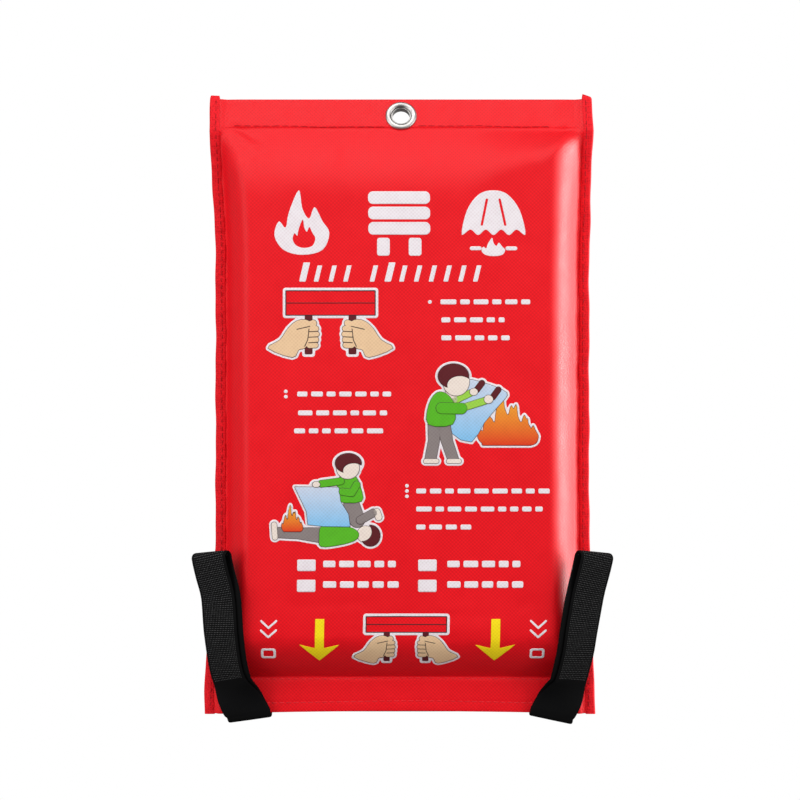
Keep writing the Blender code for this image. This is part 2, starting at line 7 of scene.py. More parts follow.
import bmesh
import bpy
import numpy as np
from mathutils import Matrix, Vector

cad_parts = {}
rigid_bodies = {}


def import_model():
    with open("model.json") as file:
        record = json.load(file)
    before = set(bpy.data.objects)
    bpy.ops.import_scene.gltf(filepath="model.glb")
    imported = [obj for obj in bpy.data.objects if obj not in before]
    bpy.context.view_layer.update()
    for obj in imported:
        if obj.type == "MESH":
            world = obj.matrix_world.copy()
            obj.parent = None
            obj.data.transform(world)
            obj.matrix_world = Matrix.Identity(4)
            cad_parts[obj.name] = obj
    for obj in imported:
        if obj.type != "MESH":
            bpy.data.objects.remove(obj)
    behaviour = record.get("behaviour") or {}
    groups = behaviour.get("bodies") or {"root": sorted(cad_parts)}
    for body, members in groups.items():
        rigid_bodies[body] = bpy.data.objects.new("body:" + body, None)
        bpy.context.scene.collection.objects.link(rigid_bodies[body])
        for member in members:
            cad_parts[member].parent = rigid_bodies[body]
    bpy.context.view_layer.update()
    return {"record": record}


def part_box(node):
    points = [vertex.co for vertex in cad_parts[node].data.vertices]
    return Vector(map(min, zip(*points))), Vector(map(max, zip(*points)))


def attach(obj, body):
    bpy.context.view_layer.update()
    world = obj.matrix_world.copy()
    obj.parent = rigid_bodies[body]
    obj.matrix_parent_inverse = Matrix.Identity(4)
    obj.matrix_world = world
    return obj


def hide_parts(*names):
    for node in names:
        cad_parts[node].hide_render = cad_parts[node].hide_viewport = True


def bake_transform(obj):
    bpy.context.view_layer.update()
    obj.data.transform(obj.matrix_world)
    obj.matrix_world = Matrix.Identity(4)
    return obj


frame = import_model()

MM = 0.001
rng = np.random.default_rng(7)

# ---------------------------------------------------------------- places from the frame


def span(node):
    """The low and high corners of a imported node's box."""
    return [np.array(corner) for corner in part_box(node)]


FRONT_Y, HEEL_Z = span("pouch_front_panel")[0][1:]
MOUTH_Z = span("pouch_front_lip")[0][2]
WALL_Y, HEADER_TOP_Z = span("pouch_back_panel")[1][1:]
MOUTH_HALF_WIDTH, _, BINDING_TOP_Z = span("binding_right")[1]
pack_low, pack_high = span("blanket")
hem_low, hem_high = span("blanket_hem_tape")
root_low, root_high = span("strap_right_root")
hinges = {joint["name"]: joint for joint in frame["record"]["behaviour"]["joints"]}

# Shape of the pouch, as it was sewn
MIDDLE_HALF_WIDTH = MOUTH_HALF_WIDTH - 3.5 * MM
TOP_HALF_WIDTH = MOUTH_HALF_WIDTH - 1.6 * MM
PINCH_TOP_LENGTH = 75 * MM
PINCH_MOUTH_LENGTH = 95 * MM
HEADER_LEAN = math.radians(20)
HEADER_BOTTOM_Z = -7.2 * MM
FRONT_SHOULDER_Z = HEADER_BOTTOM_Z - 31.6 * MM
BACK_SHOULDER_Z = HEADER_BOTTOM_Z - 34.8 * MM
HEM_HEIGHT = 17.4 * MM
CREASE_Z = MOUTH_Z + HEM_HEIGHT
LIP_Y = WALL_Y - 4.4 * MM
STACK = 1.38 * MM
EDGE_STEP = 1.2 * MM
EDGE_SLOPE = 3.0 * MM
SIDE_SLOPE_LEFT = 13 * MM
SIDE_SLOPE_RIGHT = 16 * MM
BINDING_WIDTH = 4.6 * MM
MARGIN = 0.3 * MM
FABRIC = 0.3 * MM
HEM_ROLL = 0.36 * MM
HEM_TURN = 13 * MM
FRONT_ROW_STEP, FRONT_COLUMNS = 1.3 * MM, 156
BACK_ROW_STEP, BACK_COLUMNS = 1.6 * MM, 120
HEADER_HOLE_RADIUS = 5.0 * MM

HEADER_STITCH_Z = -4.9 * MM
CREASE_STITCH_Z = CREASE_Z - 1.0 * MM
HEM_STITCH_Z = MOUTH_Z + 4.7 * MM
STITCH_PITCH = 3.3 * MM
STITCH_LENGTH = 2.7 * MM
THREAD_RADIUS = 0.21 * MM

HEADER_NORMAL = np.array((0, -math.cos(HEADER_LEAN), math.sin(HEADER_LEAN)))
HEADER_UP = np.array((0, math.sin(HEADER_LEAN), math.cos(HEADER_LEAN)))


def spline(a, b, c, d, t):
    """The smooth curve through a, b, c and d, at share t of the way from b to c."""
    bend = (2 * a - 5 * b + 4 * c - d) * t * t + (3 * b - 3 * c + d - a) * t**3
    return (2 * b + (c - a) * t + bend) / 2


def smooth(share):
    held = np.clip(share, 0, 1)
    return held * held * (3 - 2 * held)


def ease(share):
    return np.sin(np.pi / 2 * np.clip(share, 0, 1))


# ---------------------------------------------------------------- pouch surfaces


def half_width(z):
    top = (TOP_HALF_WIDTH - MIDDLE_HALF_WIDTH) * (1 - smooth(-z / PINCH_TOP_LENGTH))
    mouth = MOUTH_HALF_WIDTH - MIDDLE_HALF_WIDTH
    return MIDDLE_HALF_WIDTH + top + mouth * (1 - smooth((z - MOUTH_Z) / PINCH_MOUTH_LENGTH))


def edge_x(z):
    return half_width(z) - BINDING_WIDTH - MARGIN


def sway(x, z):
    """Sideways pull of the sewn edges: a little out to the left at the mouth, and the
    whole middle a little to the right."""
    mouth = smooth((-205 * MM - z) / (60 * MM))
    middle = smooth(-z / (60 * MM)) * (1 - mouth)
    side = np.clip(x / MOUTH_HALF_WIDTH, -1, 1)
    left = np.clip(-side, 0, 1)
    right = np.clip(side, 0, 1)
    return 0.45 * MM * middle - 1.3 * MM * mouth * left + 0.4 * MM * middle * right


def arch(x, z):
    """Lift of the mouth's edge between its two corners."""
    across = np.clip(np.abs(x) / MOUTH_HALF_WIDTH, 0, 1)
    return 1.5 * MM * (1 - across**2) * smooth((CREASE_Z + 6 * MM - z) / (20 * MM))


def header_back_y(z):
    return STACK / 2 + z * math.tan(HEADER_LEAN)


def back_middle_y(z):
    start = header_back_y(HEADER_BOTTOM_Z)
    share = (HEADER_BOTTOM_Z - z) / (HEADER_BOTTOM_Z - BACK_SHOULDER_Z)
    return np.where(z >= HEADER_BOTTOM_Z, header_back_y(z), start + (WALL_Y - start) * ease(share))


def fullness(x, z):
    """How full the pouch is: 0 flat, 1 at its whole depth. The right shoulder is steeper."""
    steep = 1 + 0.75 * smooth((x - 25 * MM) / (42 * MM)) + 1.3 * smooth((x - 62 * MM) / (16 * MM))
    upper = ease((HEADER_BOTTOM_Z - z) / (HEADER_BOTTOM_Z - FRONT_SHOULDER_Z) * steep)
    lower = ease((z - CREASE_Z) / (HEEL_Z - CREASE_Z))
    return np.where(z > FRONT_SHOULDER_Z, upper, lower)


def front_middle_y(x, z):
    start = np.where(z > FRONT_SHOULDER_Z, header_back_y(HEADER_BOTTOM_Z) - STACK, LIP_Y)
    body = start + (FRONT_Y - start) * fullness(x, z)
    return np.where(z >= HEADER_BOTTOM_Z, header_back_y(z) - STACK, body)


def edge_share(x, z):
    return smooth((np.abs(x) - edge_x(z) + EDGE_SLOPE) / EDGE_SLOPE)


def edge_back_y(z):
    """The back's depth at the sewn sides, which stops changing at the header's top."""
    return float(back_middle_y(min(z, HEADER_TOP_Z))) - EDGE_STEP


# Creases of the front as (start x, start z, end x, end z, width, depth), in mm.
# A positive depth presses the cloth in, a negative one raises a ridge.
CREASES = (
    (-78, -4.5, -64, -13.5, 1.5, 0.75),
    (-79, -6.5, -67, -16, 1.6, -0.45),
    (-80, -11, -72, -14, 1.1, 0.3),
    (-81, -18, -74, -19, 1.4, 0.25),
    (78, -5, 70, -11, 1.6, 0.5),
    (80, -12, 72, -19, 1.8, 0.35),
    (-66, -22, -58, -40, 3.5, 0.3),
    (62, -24, 56, -42, 4.0, 0.3),
    (-72, -250, -56, -243, 2.2, 0.45),
    (71, -249, 58, -244, 2.4, 0.45),
    (-64, -262.5, -30, -256, 2.4, 0.35),
    (20, -255, 58, -261, 2.6, 0.35),
    (-50, -226, -8, -224, 2.8, 0.22),
    (-30, -232, 44, -230, 2.6, 0.24),
    (-56, -238, 12, -236.5, 2.4, 0.26),
    (8, -240.5, 58, -238, 2.4, 0.24),
    (50, -228, 62, -222, 3.0, 0.25),
)


def along_segment(x, z, crease):
    """Depth of one crease at x, z: a soft groove that fades at its two ends."""
    x0, z0, x1, z1, width, depth = (value * MM for value in crease)
    dx, dz = x1 - x0, z1 - z0
    share = ((x - x0) * dx + (z - z0) * dz) / (dx * dx + dz * dz)
    held = np.clip(share, 0, 1)
    away = np.hypot(x - x0 - held * dx, z - z0 - held * dz)
    fade = np.sin(np.pi * np.clip(held * 0.9 + 0.05, 0, 1)) ** 0.6
    return depth * fade * np.exp(-((away / width) ** 2))


def make_ripples(count, shortest, longest):
    """Directions, wave numbers and phases of gentle waves, drawn once."""
    turn = rng.uniform(0, math.pi, count)
    wave = 2 * math.pi / rng.uniform(shortest, longest, count)
    return np.cos(turn) * wave, np.sin(turn) * wave, rng.uniform(0, 2 * math.pi, count)


BROAD = make_ripples(9, 28 * MM, 70 * MM)
FINE = make_ripples(14, 7 * MM, 17 * MM)


def ripple(x, z, waves):
    total = 0
    for kx, kz, phase in zip(*waves):
        total = total + np.sin(kx * x + kz * z + phase)
    return total / math.sqrt(len(waves[0]))


def pucker(x, z, line_z, reach):
    """A stitched line pulls the cloth in, most at each needle hole."""
    pull = np.exp(-(((z - line_z) / (0.9 * MM)) ** 2))
    beat = 0.6 + 0.4 * np.cos(2 * np.pi * x / STITCH_PITCH)
    return 0.16 * MM * pull * beat * (np.abs(x) < reach)


def front_detail(x, z):
    inner = smooth((edge_x(z) - np.abs(x)) / (6 * MM))
    body = fullness(x, z) * inner
    total = 0.13 * MM * ripple(x, z, BROAD) * body + 0.03 * MM * ripple(x, z, FINE) * inner
    for crease in CREASES:
        total = total + along_segment(x, z, crease) * inner
    total = total + pucker(x, z, HEADER_STITCH_Z, 82 * MM) * (x < 70 * MM)
    seam = smooth((70 * MM - x) / (2 * MM)) * inner
    tuck = np.exp(-(((z - HEADER_STITCH_Z + 0.75 * MM) / (0.45 * MM)) ** 2))
    proud = smooth((z - HEADER_STITCH_Z + 0.8 * MM) / (0.5 * MM))
    total = total + 0.3 * MM * (tuck * seam - proud * inner)
    total = total + pucker(x, z, CREASE_STITCH_Z, 84 * MM)
    total = total + pucker(x, z, HEM_STITCH_Z, 84 * MM)
    slack = np.exp(-(((np.abs(x) - edge_x(z) + 4 * MM) / (4 * MM)) ** 2))
    total = total + 0.22 * MM * slack * np.sin(z / (5.3 * MM) + 2 * np.sin(z / (17 * MM)))
    hem = smooth((CREASE_Z - z) / (2 * MM))
    total = total - hem * 0.25 * MM + hem * inner * 0.12 * MM * np.sin(x / (9 * MM) + 1.0)
    return total


def front_surface(x, z):
    """Outer face of the pouch's front."""
    margin = back_middle_y(z) - EDGE_STEP - STACK
    wide = np.where(x < 0, SIDE_SLOPE_LEFT, SIDE_SLOPE_RIGHT)
    narrow = np.where(x < 0, EDGE_SLOPE, 0.75 * SIDE_SLOPE_RIGHT)
    narrow = np.where(z < FRONT_SHOULDER_Z, EDGE_SLOPE, narrow)
    slope = narrow + (wide - narrow) * fullness(x, z)
    share = (edge_x(z) - np.abs(x)) / slope
    start = 1 - np.exp(-np.clip(share, 0, 1) / 0.1)
    body = margin + (front_middle_y(x, z) - margin) * ease(share) * start
    header = front_middle_y(x, z) - EDGE_STEP * edge_share(x, z)
    return np.where(z >= HEADER_BOTTOM_Z, header, body) + front_detail(x, z)


def back_surface(x, z):
    """Outer face of the pouch's back."""
    waves = 0.12 * MM * ripple(x, z + 0.3, BROAD) - 0.2 * MM
    waves = waves + 0.04 * MM * ripple(x, z + 0.2, FINE)
    return back_middle_y(z) - EDGE_STEP * edge_share(x, z) + waves * (1 - edge_share(x, z))


# ---------------------------------------------------------------- mesh helpers


def link(name, mesh, material, body, smooth_angle=None):
    item = bpy.data.objects.new(name, mesh)
    bpy.context.scene.collection.objects.link(item)
    for each in material if isinstance(material, (list, tuple)) else (material,):
        mesh.materials.append(each)
    mesh.shade_smooth()
    if smooth_angle:
        mesh.set_sharp_from_angle(angle=math.radians(smooth_angle))
    if body:
        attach(item, body)
    return item


def grid_mesh(name, points, uv=None, wrap_u=False, wrap_v=False):
    """A mesh over an array of points[i, j], with an optional uv array of the same size."""
    rows, columns = points.shape[:2]
    i = np.arange(rows if wrap_u else rows - 1)[:, None]
    j = np.arange(columns if wrap_v else columns - 1)[None, :]
    i2, j2 = (i + 1) % rows, (j + 1) % columns
    corners = np.stack(
        [i * columns + j, i2 * columns + j, i2 * columns + j2, i * columns + j2], axis=-1
    ).reshape(-1, 4)
    mesh = bpy.data.meshes.new(name)
    mesh.from_pydata(points.reshape(-1, 3).tolist(), [], corners.tolist())
    if uv is not None:
        layer = mesh.uv_layers.new(name="UVMap")
        flat = uv.reshape(-1, 2)
        loops = np.zeros(len(mesh.loops), int)
        mesh.loops.foreach_get("vertex_index", loops)
        layer.data.foreach_set("uv", flat[loops].astype(np.float32).ravel())
    return mesh


def turn_out(item, towards):
    """Makes the faces of an open sheet face the given way."""
    normal = sum((face.normal * face.area for face in item.data.polygons), Vector((0, 0, 0)))
    if normal.dot(Vector(towards)) < 0:
        item.data.flip_normals()


def close_ends(mesh, rings=()):
    """Fills a tube's ends, given their vertex indices, and turns all its faces outward."""
    bm = bmesh.new()
    bm.from_mesh(mesh)
    bm.verts.ensure_lookup_table()
    for ring in rings:
        bm.faces.new([bm.verts[k] for k in ring])
    bmesh.ops.recalc_face_normals(bm, faces=bm.faces)
    bm.to_mesh(mesh)
    bm.free()


def tube_mesh(name, rings, uv=None):
    """A tube through rings of points, with both ends filled."""
    mesh = grid_mesh(name, rings, uv, wrap_v=True)
    count = rings.shape[1]
    end = (rings.shape[0] - 1) * count
    close_ends(mesh, [range(count), range(end, end + count)])
    return mesh


def thicken(item, thickness):
    """Gives a sheet its thickness, behind its outer face."""
    solid = item.modifiers.new("thickness", "SOLIDIFY")
    solid.thickness = thickness
    solid.offset = -1.0
    solid.use_even_offset = False


def rows_with_lines(low, high, step, lines):
    """Heights from low to high, closer together beside each sewn line."""
    rows = [low]
    while rows[-1] < high:
        near = min(abs(rows[-1] + 0.3 * MM - line) for line in lines)
        rows.append(rows[-1] + (0.34 * MM if near < 1.7 * MM else step))
    rows[-1] = high
    return np.array(rows)


def spaced(low, high, step):
    count = max(2, int(round((high - low) / step)) + 1)
    return np.linspace(low, high, count)


# ---------------------------------------------------------------- materials


def srgb(red, green, blue):
    parts = [c / 255 for c in (red, green, blue)]
    return tuple(c / 12.92 if c < 0.04045 else ((c + 0.055) / 1.055) ** 2.4 for c in parts) + (1.0,)


def tint(colour, share, lift=0.0):
    """The colour times share, plus lift."""
    return [min(1.0, c * share + lift) for c in colour[:3]] + [1.0]


class Nodes:
    """A short way to write the node tree of a new material or of a world."""

    def __init__(self, owner):
        self.owner = bpy.data.materials.new(owner) if isinstance(owner, str) else owner
        self.owner.use_nodes = True
        self.tree = self.owner.node_tree

    def add(self, kind, links=None, **settings):
        node = self.tree.nodes.new("ShaderNode" + kind)
        for key, value in settings.items():
            setattr(node, key, value)
        for key, value in (links or {}).items():
            self.put(node.inputs[key], value)
        return node

    def put(self, socket, value):
        if hasattr(value, "links") and hasattr(value, "is_output"):
            self.tree.links.new(value, socket)
        elif hasattr(value, "outputs"):
            self.tree.links.new(value.outputs[0], socket)
        else:
            socket.default_value = value

    def math(self, operation, a, b=0.0):
        return self.add("Math", {0: a, 1: b}, operation=operation).outputs[0]

    def times(self, a, b):
        return self.math("MULTIPLY", a, b)

    def total(self, *parts):
        """The sum of values, each given as (value, weight)."""
        made = None
        for value, weight in parts:
            part = value if weight == 1 else self.times(value, weight)
            made = part if made is None else self.math("ADD", made, part)
        return made

    def wave(self, value, pitch):
        """A sine wave, from -1 to 1."""
        return self.math("SINE", self.times(value, 2 * math.pi / pitch))

    def noise(self, vector, scale, detail=2.0, roughness=0.5):
        links = {"Vector": vector, "Scale": scale, "Detail": detail, "Roughness": roughness}
        return self.add("TexNoise", links).outputs["Fac"]

    def cells(self, vector, scale, randomness):
        links = {"Vector": vector, "Scale": scale, "Randomness": randomness}
        return self.add("TexVoronoi", links).outputs["Distance"]

    def ramp(self, value, low, high, to_low=0.0, to_high=1.0):
        links = {"Value": value, "From Min": low, "From Max": high, "To Min": to_low, "To Max": to_high}
        return self.add("MapRange", links).outputs["Result"]

    def mix(self, factor, a, b, blend_type="MIX"):
        links = {"Factor": factor, 6: a, 7: b}
        return self.add("Mix", links, data_type="RGBA", blend_type=blend_type).outputs[2]

    def place(self):
        return self.add("TexCoord").outputs["Object"]

    def uv(self):
        return self.add("UVMap", uv_map="UVMap").outputs[0]

    def split(self, vector):
        return self.add("SeparateXYZ", {0: vector}).outputs

    def bump(self, height, distance, strength):
        return self.add("Bump", {"Height": height, "Distance": distance, "Strength": strength}).outputs[0]

    def finish(self, **sockets):
        for key, value in sockets.items():
            self.put(self.tree.nodes["Principled BSDF"].inputs[key.replace("_", " ")], value)
        return self.owner


EMBOSS_PITCH = 1.7 * MM
SHADE_AND_TONE_SPREAD = 0.12


def emboss(n, at):
    """A fine diamond mesh pressed into the cloth: 0 in the points, 1 on the ridges."""
    x, _, z = n.split(at)
    return n.ramp(n.times(n.wave(x, EMBOSS_PITCH), n.wave(z, EMBOSS_PITCH)), -1.0, 1.0)


def laminated(name, colour, gloss=0.42, shine=0.2):
    """Film-laminated non-woven: diamond emboss with painted shade in its pressed points, faint fibre
    mottling and soft gloss.
    """
    n = Nodes(name)
    at = n.place()
    mesh = emboss(n, at)
    mottle = n.noise(at, 90.0, 4.0, 0.6)
    cloud = n.noise(at, 22.0)
    # The emboss darkens the colour in its points and lightens it on its ridges: painted shade of the
    # relief, mixed with random mottling and clouding.
    tone = n.ramp(n.total((mesh, 0.9), (mottle, 0.4), (cloud, 0.3)), 0.35, 1.25)
    return n.finish(
        Base_Color=n.mix(tone, tint(colour, 1 - SHADE_AND_TONE_SPREAD), tint(colour, 1 + SHADE_AND_TONE_SPREAD)),
        Roughness=n.ramp(n.total((mottle, 1), (mesh, 0.35)), 0.3, 1.0, gloss, gloss + 0.14),
        Normal=n.bump(n.total((mesh, 0.8), (mottle, 0.5)), 0.07 * MM, 0.8),
        Specular_IOR_Level=shine,
    )


def nonwoven(name, colour):
    """Matte spunbond tape: pressed points and loose fibres."""
    n = Nodes(name)
    at = n.place()
    points = n.ramp(n.cells(at, 900.0, 0.45), 0.1, 0.55)
    fibres = n.noise(at, 1800.0, 4.0, 0.7)
    tone = n.ramp(n.total((points, 0.6), (n.noise(at, 160.0, 3.0), 0.6)), 0.25, 0.95)
    return n.finish(
        Base_Color=n.mix(tone, tint(colour, 0.72), tint(colour, 1.08, 0.004)),
        Roughness=n.ramp(fibres, 0.3, 0.7, 0.6, 0.78),
        Normal=n.bump(n.total((points, 1), (fibres, 0.5)), 0.08 * MM, 0.7),
        Specular_IOR_Level=0.12,
    )


def thread_material(name, colour):
    n = Nodes(name)
    x, _, z = n.split(n.place())
    twist = n.ramp(n.wave(n.total((x, 1), (z, 1)), 0.45 * MM), -1.0, 1.0)
    return n.finish(
        Base_Color=n.mix(twist, tint(colour, 0.6), tint(colour, 1.15, 0.01)),
        Roughness=n.ramp(twist, 0.0, 1.0, 0.7, 0.55),
        Normal=n.bump(twist, 0.04 * MM, 0.6),
        Specular_IOR_Level=0.1,
    )


def nickel_material():
    n = Nodes("nickel_plate")
    at = n.place()
    scratch = n.noise(n.add("Mapping", {"Vector": at, "Scale": (1.0, 1.0, 14.0)}), 900.0, 3.0)
    haze = n.noise(at, 260.0, 3.0)
    return n.finish(
        Base_Color=n.mix(n.ramp(haze, 0.3, 0.7), srgb(138, 136, 134), srgb(184, 181, 178)),
        Metallic=1.0,
        Roughness=n.ramp(n.total((scratch, 1), (haze, 1)), 0.7, 1.3, 0.28, 0.42),
        Normal=n.bump(scratch, 0.01 * MM, 0.3),
    )


# Along the webbing from the mouth fold, on its outer layer, in mm: the woven stretch, which carries the
# painted glints
WOVEN_FROM = 19.6
WOVEN_TO = 84.0
FLOAT_PITCH = 0.96


def webbing_material():
    """Black webbing: u runs across and v along, both in mm. Light grey dots, painted glints of the
    floats, dot its woven stretch; the webbing before and after that stretch and two plain selvedges hold
    none."""
    n = Nodes("black_webbing_weave")
    uv = n.uv()
    across, along, _ = n.split(uv)
    row = n.total((along, 1), (across, 0.1))
    dots = n.times(*[n.ramp(n.wave(value, FLOAT_PITCH), 0.3, 0.95) for value in (across, row)])
    field = n.ramp(n.math("ABSOLUTE", across), 8.4, 8.9, 1.0, 0.0)
    woven = n.times(field, n.ramp(row, WOVEN_FROM, WOVEN_FROM + 0.6))
    woven = n.times(woven, n.ramp(row, WOVEN_TO, WOVEN_TO + 0.6, 1.0, 0.0))
    painted_glints = n.times(n.times(dots, woven), n.ramp(n.noise(uv, 1.4), 0.35, 0.6, 0.45, 1.0))
    cords = n.math("ABSOLUTE", n.wave(across, 1.72))
    height = n.total((n.wave(along, 0.55), 0.16), (cords, 0.35), (n.times(dots, woven), 0.7))
    return n.finish(
        # The light grey dots in the base colour are painted glints of the floats, not a lighter yarn.
        Base_Color=n.mix(n.times(painted_glints, 0.9), srgb(8, 8, 9), srgb(132, 132, 132)),
        Roughness=n.ramp(dots, 0.0, 1.0, 0.8, 0.6),
        Normal=n.bump(height, 0.14 * MM, 0.7),
        Specular_IOR_Level=0.1,
    )


def glass_cloth_material():
    """Plain-woven off-white glass cloth. u and v are in mm."""
    n = Nodes("woven_glass_cloth")
    uv = n.uv()
    u, v, _ = n.split(uv)
    crossed = n.ramp(n.times(n.wave(u, 1.25), n.wave(v, 1.25)), -1.0, 1.0)
    slub = n.noise(uv, 0.5, 3.0)
    tone = n.ramp(n.total((crossed, 0.5), (slub, 0.6)), 0.2, 0.9)
    return n.finish(
        Base_Color=n.mix(tone, srgb(196, 192, 180), srgb(240, 238, 230)),
        Roughness=n.ramp(slub, 0.3, 0.7, 0.5, 0.66),
        Normal=n.bump(n.total((crossed, 1), (slub, 0.3)), 0.12 * MM, 0.8),
        Sheen_Weight=0.2,
    )


def hook_material(name, colour):
    n = Nodes(name)
    at = n.place()
    tufts = n.ramp(n.cells(at, 1100.0, 0.3), 0.0, 0.5)
    fuzz = n.noise(at, 2400.0, 3.0)
    return n.finish(
        Base_Color=n.mix(tufts, colour, tint(colour, 0.45)),
        Roughness=n.ramp(fuzz, 0.3, 0.7, 0.75, 0.95),
        Normal=n.bump(n.math("SUBTRACT", fuzz, tufts), 0.25 * MM, 0.9),
    )


red_fabric = laminated("laminated_red_fabric", srgb(232, 12, 26))
back_fabric = laminated("laminated_red_back", srgb(214, 16, 28), 0.55, 0.06)
binding_cloth = nonwoven("binding_nonwoven", srgb(232, 18, 32))
# The red thread is darker than the cloth: partly its own colour, partly painted shade of the seam's groove
# and needle holes.
red_thread = thread_material("red_thread", srgb(186, 12, 24))
hem_thread = thread_material("hem_thread", srgb(236, 50, 58))
black_thread = thread_material("black_thread", srgb(34, 34, 36))
nickel = nickel_material()
webbing = webbing_material()
glass_cloth = glass_cloth_material()
hook_cloth = hook_material("hook_tape_red", srgb(150, 16, 24))


# ---------------------------------------------------------------- pouch front and back


def panel_points(face, z_values, columns):
    across = np.linspace(-1, 1, columns)
    z = z_values[:, None]
    rim = half_width(z) - 0.9 * MM
    x = rim * across[None, :]
    zz = np.broadcast_to(z, x.shape)
    return np.stack([x + sway(x, zz), face(x, zz), zz + arch(x, zz)], axis=-1)


def rolled_edge(row, inwards, onwards, radius):
    """Rows that turn a panel's edge over, through half a circle."""
    turns = [math.pi * k / 6 for k in range(1, 7)]
    return [row + inwards * radius * (1 - math.cos(a)) + onwards * radius * math.sin(a) for a in turns]


def pierce(item, radius):
    """Opens the round hole for the eyelet and draws its rim onto a circle."""
    bm = bmesh.new()
    bm.from_mesh(item.data)
    inside = [vert for vert in bm.verts if math.hypot(vert.co.x, vert.co.z) < radius]
    bmesh.ops.delete(bm, geom=inside, context="VERTS")
    for vert in bm.verts:
        reach = math.hypot(vert.co.x, vert.co.z)
        if vert.is_boundary and reach < 1.5 * radius:
            slope = vert.co.z * (1 - radius / reach) * math.tan(HEADER_LEAN)
            vert.co.x *= radius / reach
            vert.co.z *= radius / reach
            vert.co.y -= slope
    bm.to_mesh(item.data)
    bm.free()


def make_front():
    lines = (HEADER_STITCH_Z, CREASE_STITCH_Z, HEM_STITCH_Z)
    z_values = rows_with_lines(MOUTH_Z + HEM_ROLL, HEADER_TOP_Z - STACK / 2, FRONT_ROW_STEP, lines)
    points = panel_points(front_surface, z_values, FRONT_COLUMNS)
    down = np.array((0, 0, -1.0))
    hem = rolled_edge(points[0], np.array((0, 1.0, 0)), down, HEM_ROLL)
    hem += [hem[-1] - down * HEM_TURN * k / 3 for k in (1, 2, 3)]
    header = rolled_edge(points[-1], -HEADER_NORMAL, HEADER_UP, STACK / 2)
    points = np.concatenate([hem[::-1], points, header])
    item = link("pouch_front", grid_mesh("pouch_front", points), red_fabric, "pouch")
    turn_out(item, (0, -1, 0))
    pierce(item, HEADER_HOLE_RADIUS)
    thicken(item, FABRIC)
    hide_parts("pouch_front_panel", "pouch_front_lip")


def make_back():
    z_values = spaced(MOUTH_Z, HEADER_TOP_Z - 1.3 * MM, BACK_ROW_STEP)
    points = panel_points(back_surface, z_values, BACK_COLUMNS)
    item = link("pouch_back", grid_mesh("pouch_back", points), back_fabric, "pouch")
    turn_out(item, (0, 1, 0))
    pierce(item, HEADER_HOLE_RADIUS)
    thicken(item, FABRIC)
    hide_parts("pouch_back_panel")


# ---------------------------------------------------------------- bindings


def binding_profile(front, back):
    """The folded tape's section, from its front inner lip round to its back inner lip,
    as (inwards distance from the rim, y)."""
    outer_f, outer_b = front - 0.62 * MM, back + 0.5 * MM
    middle = (outer_f + outer_b) / 2
    reach = (outer_b - outer_f) / 2
    points = [(BINDING_WIDTH, front - 0.18 * MM), (BINDING_WIDTH + 0.12 * MM, front - 0.4 * MM)]
    points += [(BINDING_WIDTH - 0.2 * MM, outer_f), (2.4 * MM, outer_f - 0.05 * MM)]
    for k in range(9):
        turn = math.pi * k / 8
        points.append((0.9 * MM * (1 - math.sin(turn)), middle - reach * math.cos(turn)))
    points += [(2.4 * MM, outer_b), (BINDING_WIDTH - 0.2 * MM, outer_b)]
    points += [(BINDING_WIDTH, back + 0.3 * MM), (BINDING_WIDTH, back + 0.1 * MM)]
    inner_b, inner_f = back + 0.05 * MM, front - 0.08 * MM
    points += [(2.4 * MM, inner_b), (0.7 * MM, inner_b - 0.2 * MM), (0.7 * MM, inner_f + 0.2 * MM)]
    points += [(2.4 * MM, inner_f)]
    return np.array(points)


def make_binding(side, name):
    top = BINDING_TOP_Z
    z_values = spaced(MOUTH_Z - 0.1 * MM, top, 1.1 * MM)
    rings = []
    seed = 0.0 if side < 0 else 40.0
    for z in z_values:
        back = edge_back_y(z) + max(z - HEADER_TOP_Z, 0) * math.tan(HEADER_LEAN)
        profile = binding_profile(back - STACK, back)
        rim = half_width(z)
        waver = 0.16 * math.sin(z / MM / 7.3 + seed) + 0.1 * math.sin(z / MM / 3.1 + 2 * seed)
        swell = 1 + 0.09 * math.sin(z / MM / 2.1 + seed) + 0.05 * math.sin(z / MM * 1.3 + seed)
        middle = profile[:, 1].mean()
        x = rim - profile[:, 0] + waver * MM
        y = middle + (profile[:, 1] - middle) * swell
        drop = np.zeros(len(x))
        over = (z - (top - 1.6 * MM)) / (1.6 * MM)
        if over > 0:
            centre = rim - BINDING_WIDTH / 2
            x = centre + (x - centre) * (1 - 0.13 * over**3)
            y = middle + (y - middle) * (1 - 0.3 * over**2)
            tilt = 0.35 if side > 0 else -0.04
            drop = -tilt * (x - centre) * over
        rings.append(np.stack([side * x + sway(side * x, z), y, z + drop], axis=-1))
    mesh = tube_mesh("binding_" + name, np.array(rings))
    item = link("binding_tape_" + name, mesh, binding_cloth, "pouch", 50)
    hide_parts("binding_" + name)


# ---------------------------------------------------------------- stitching


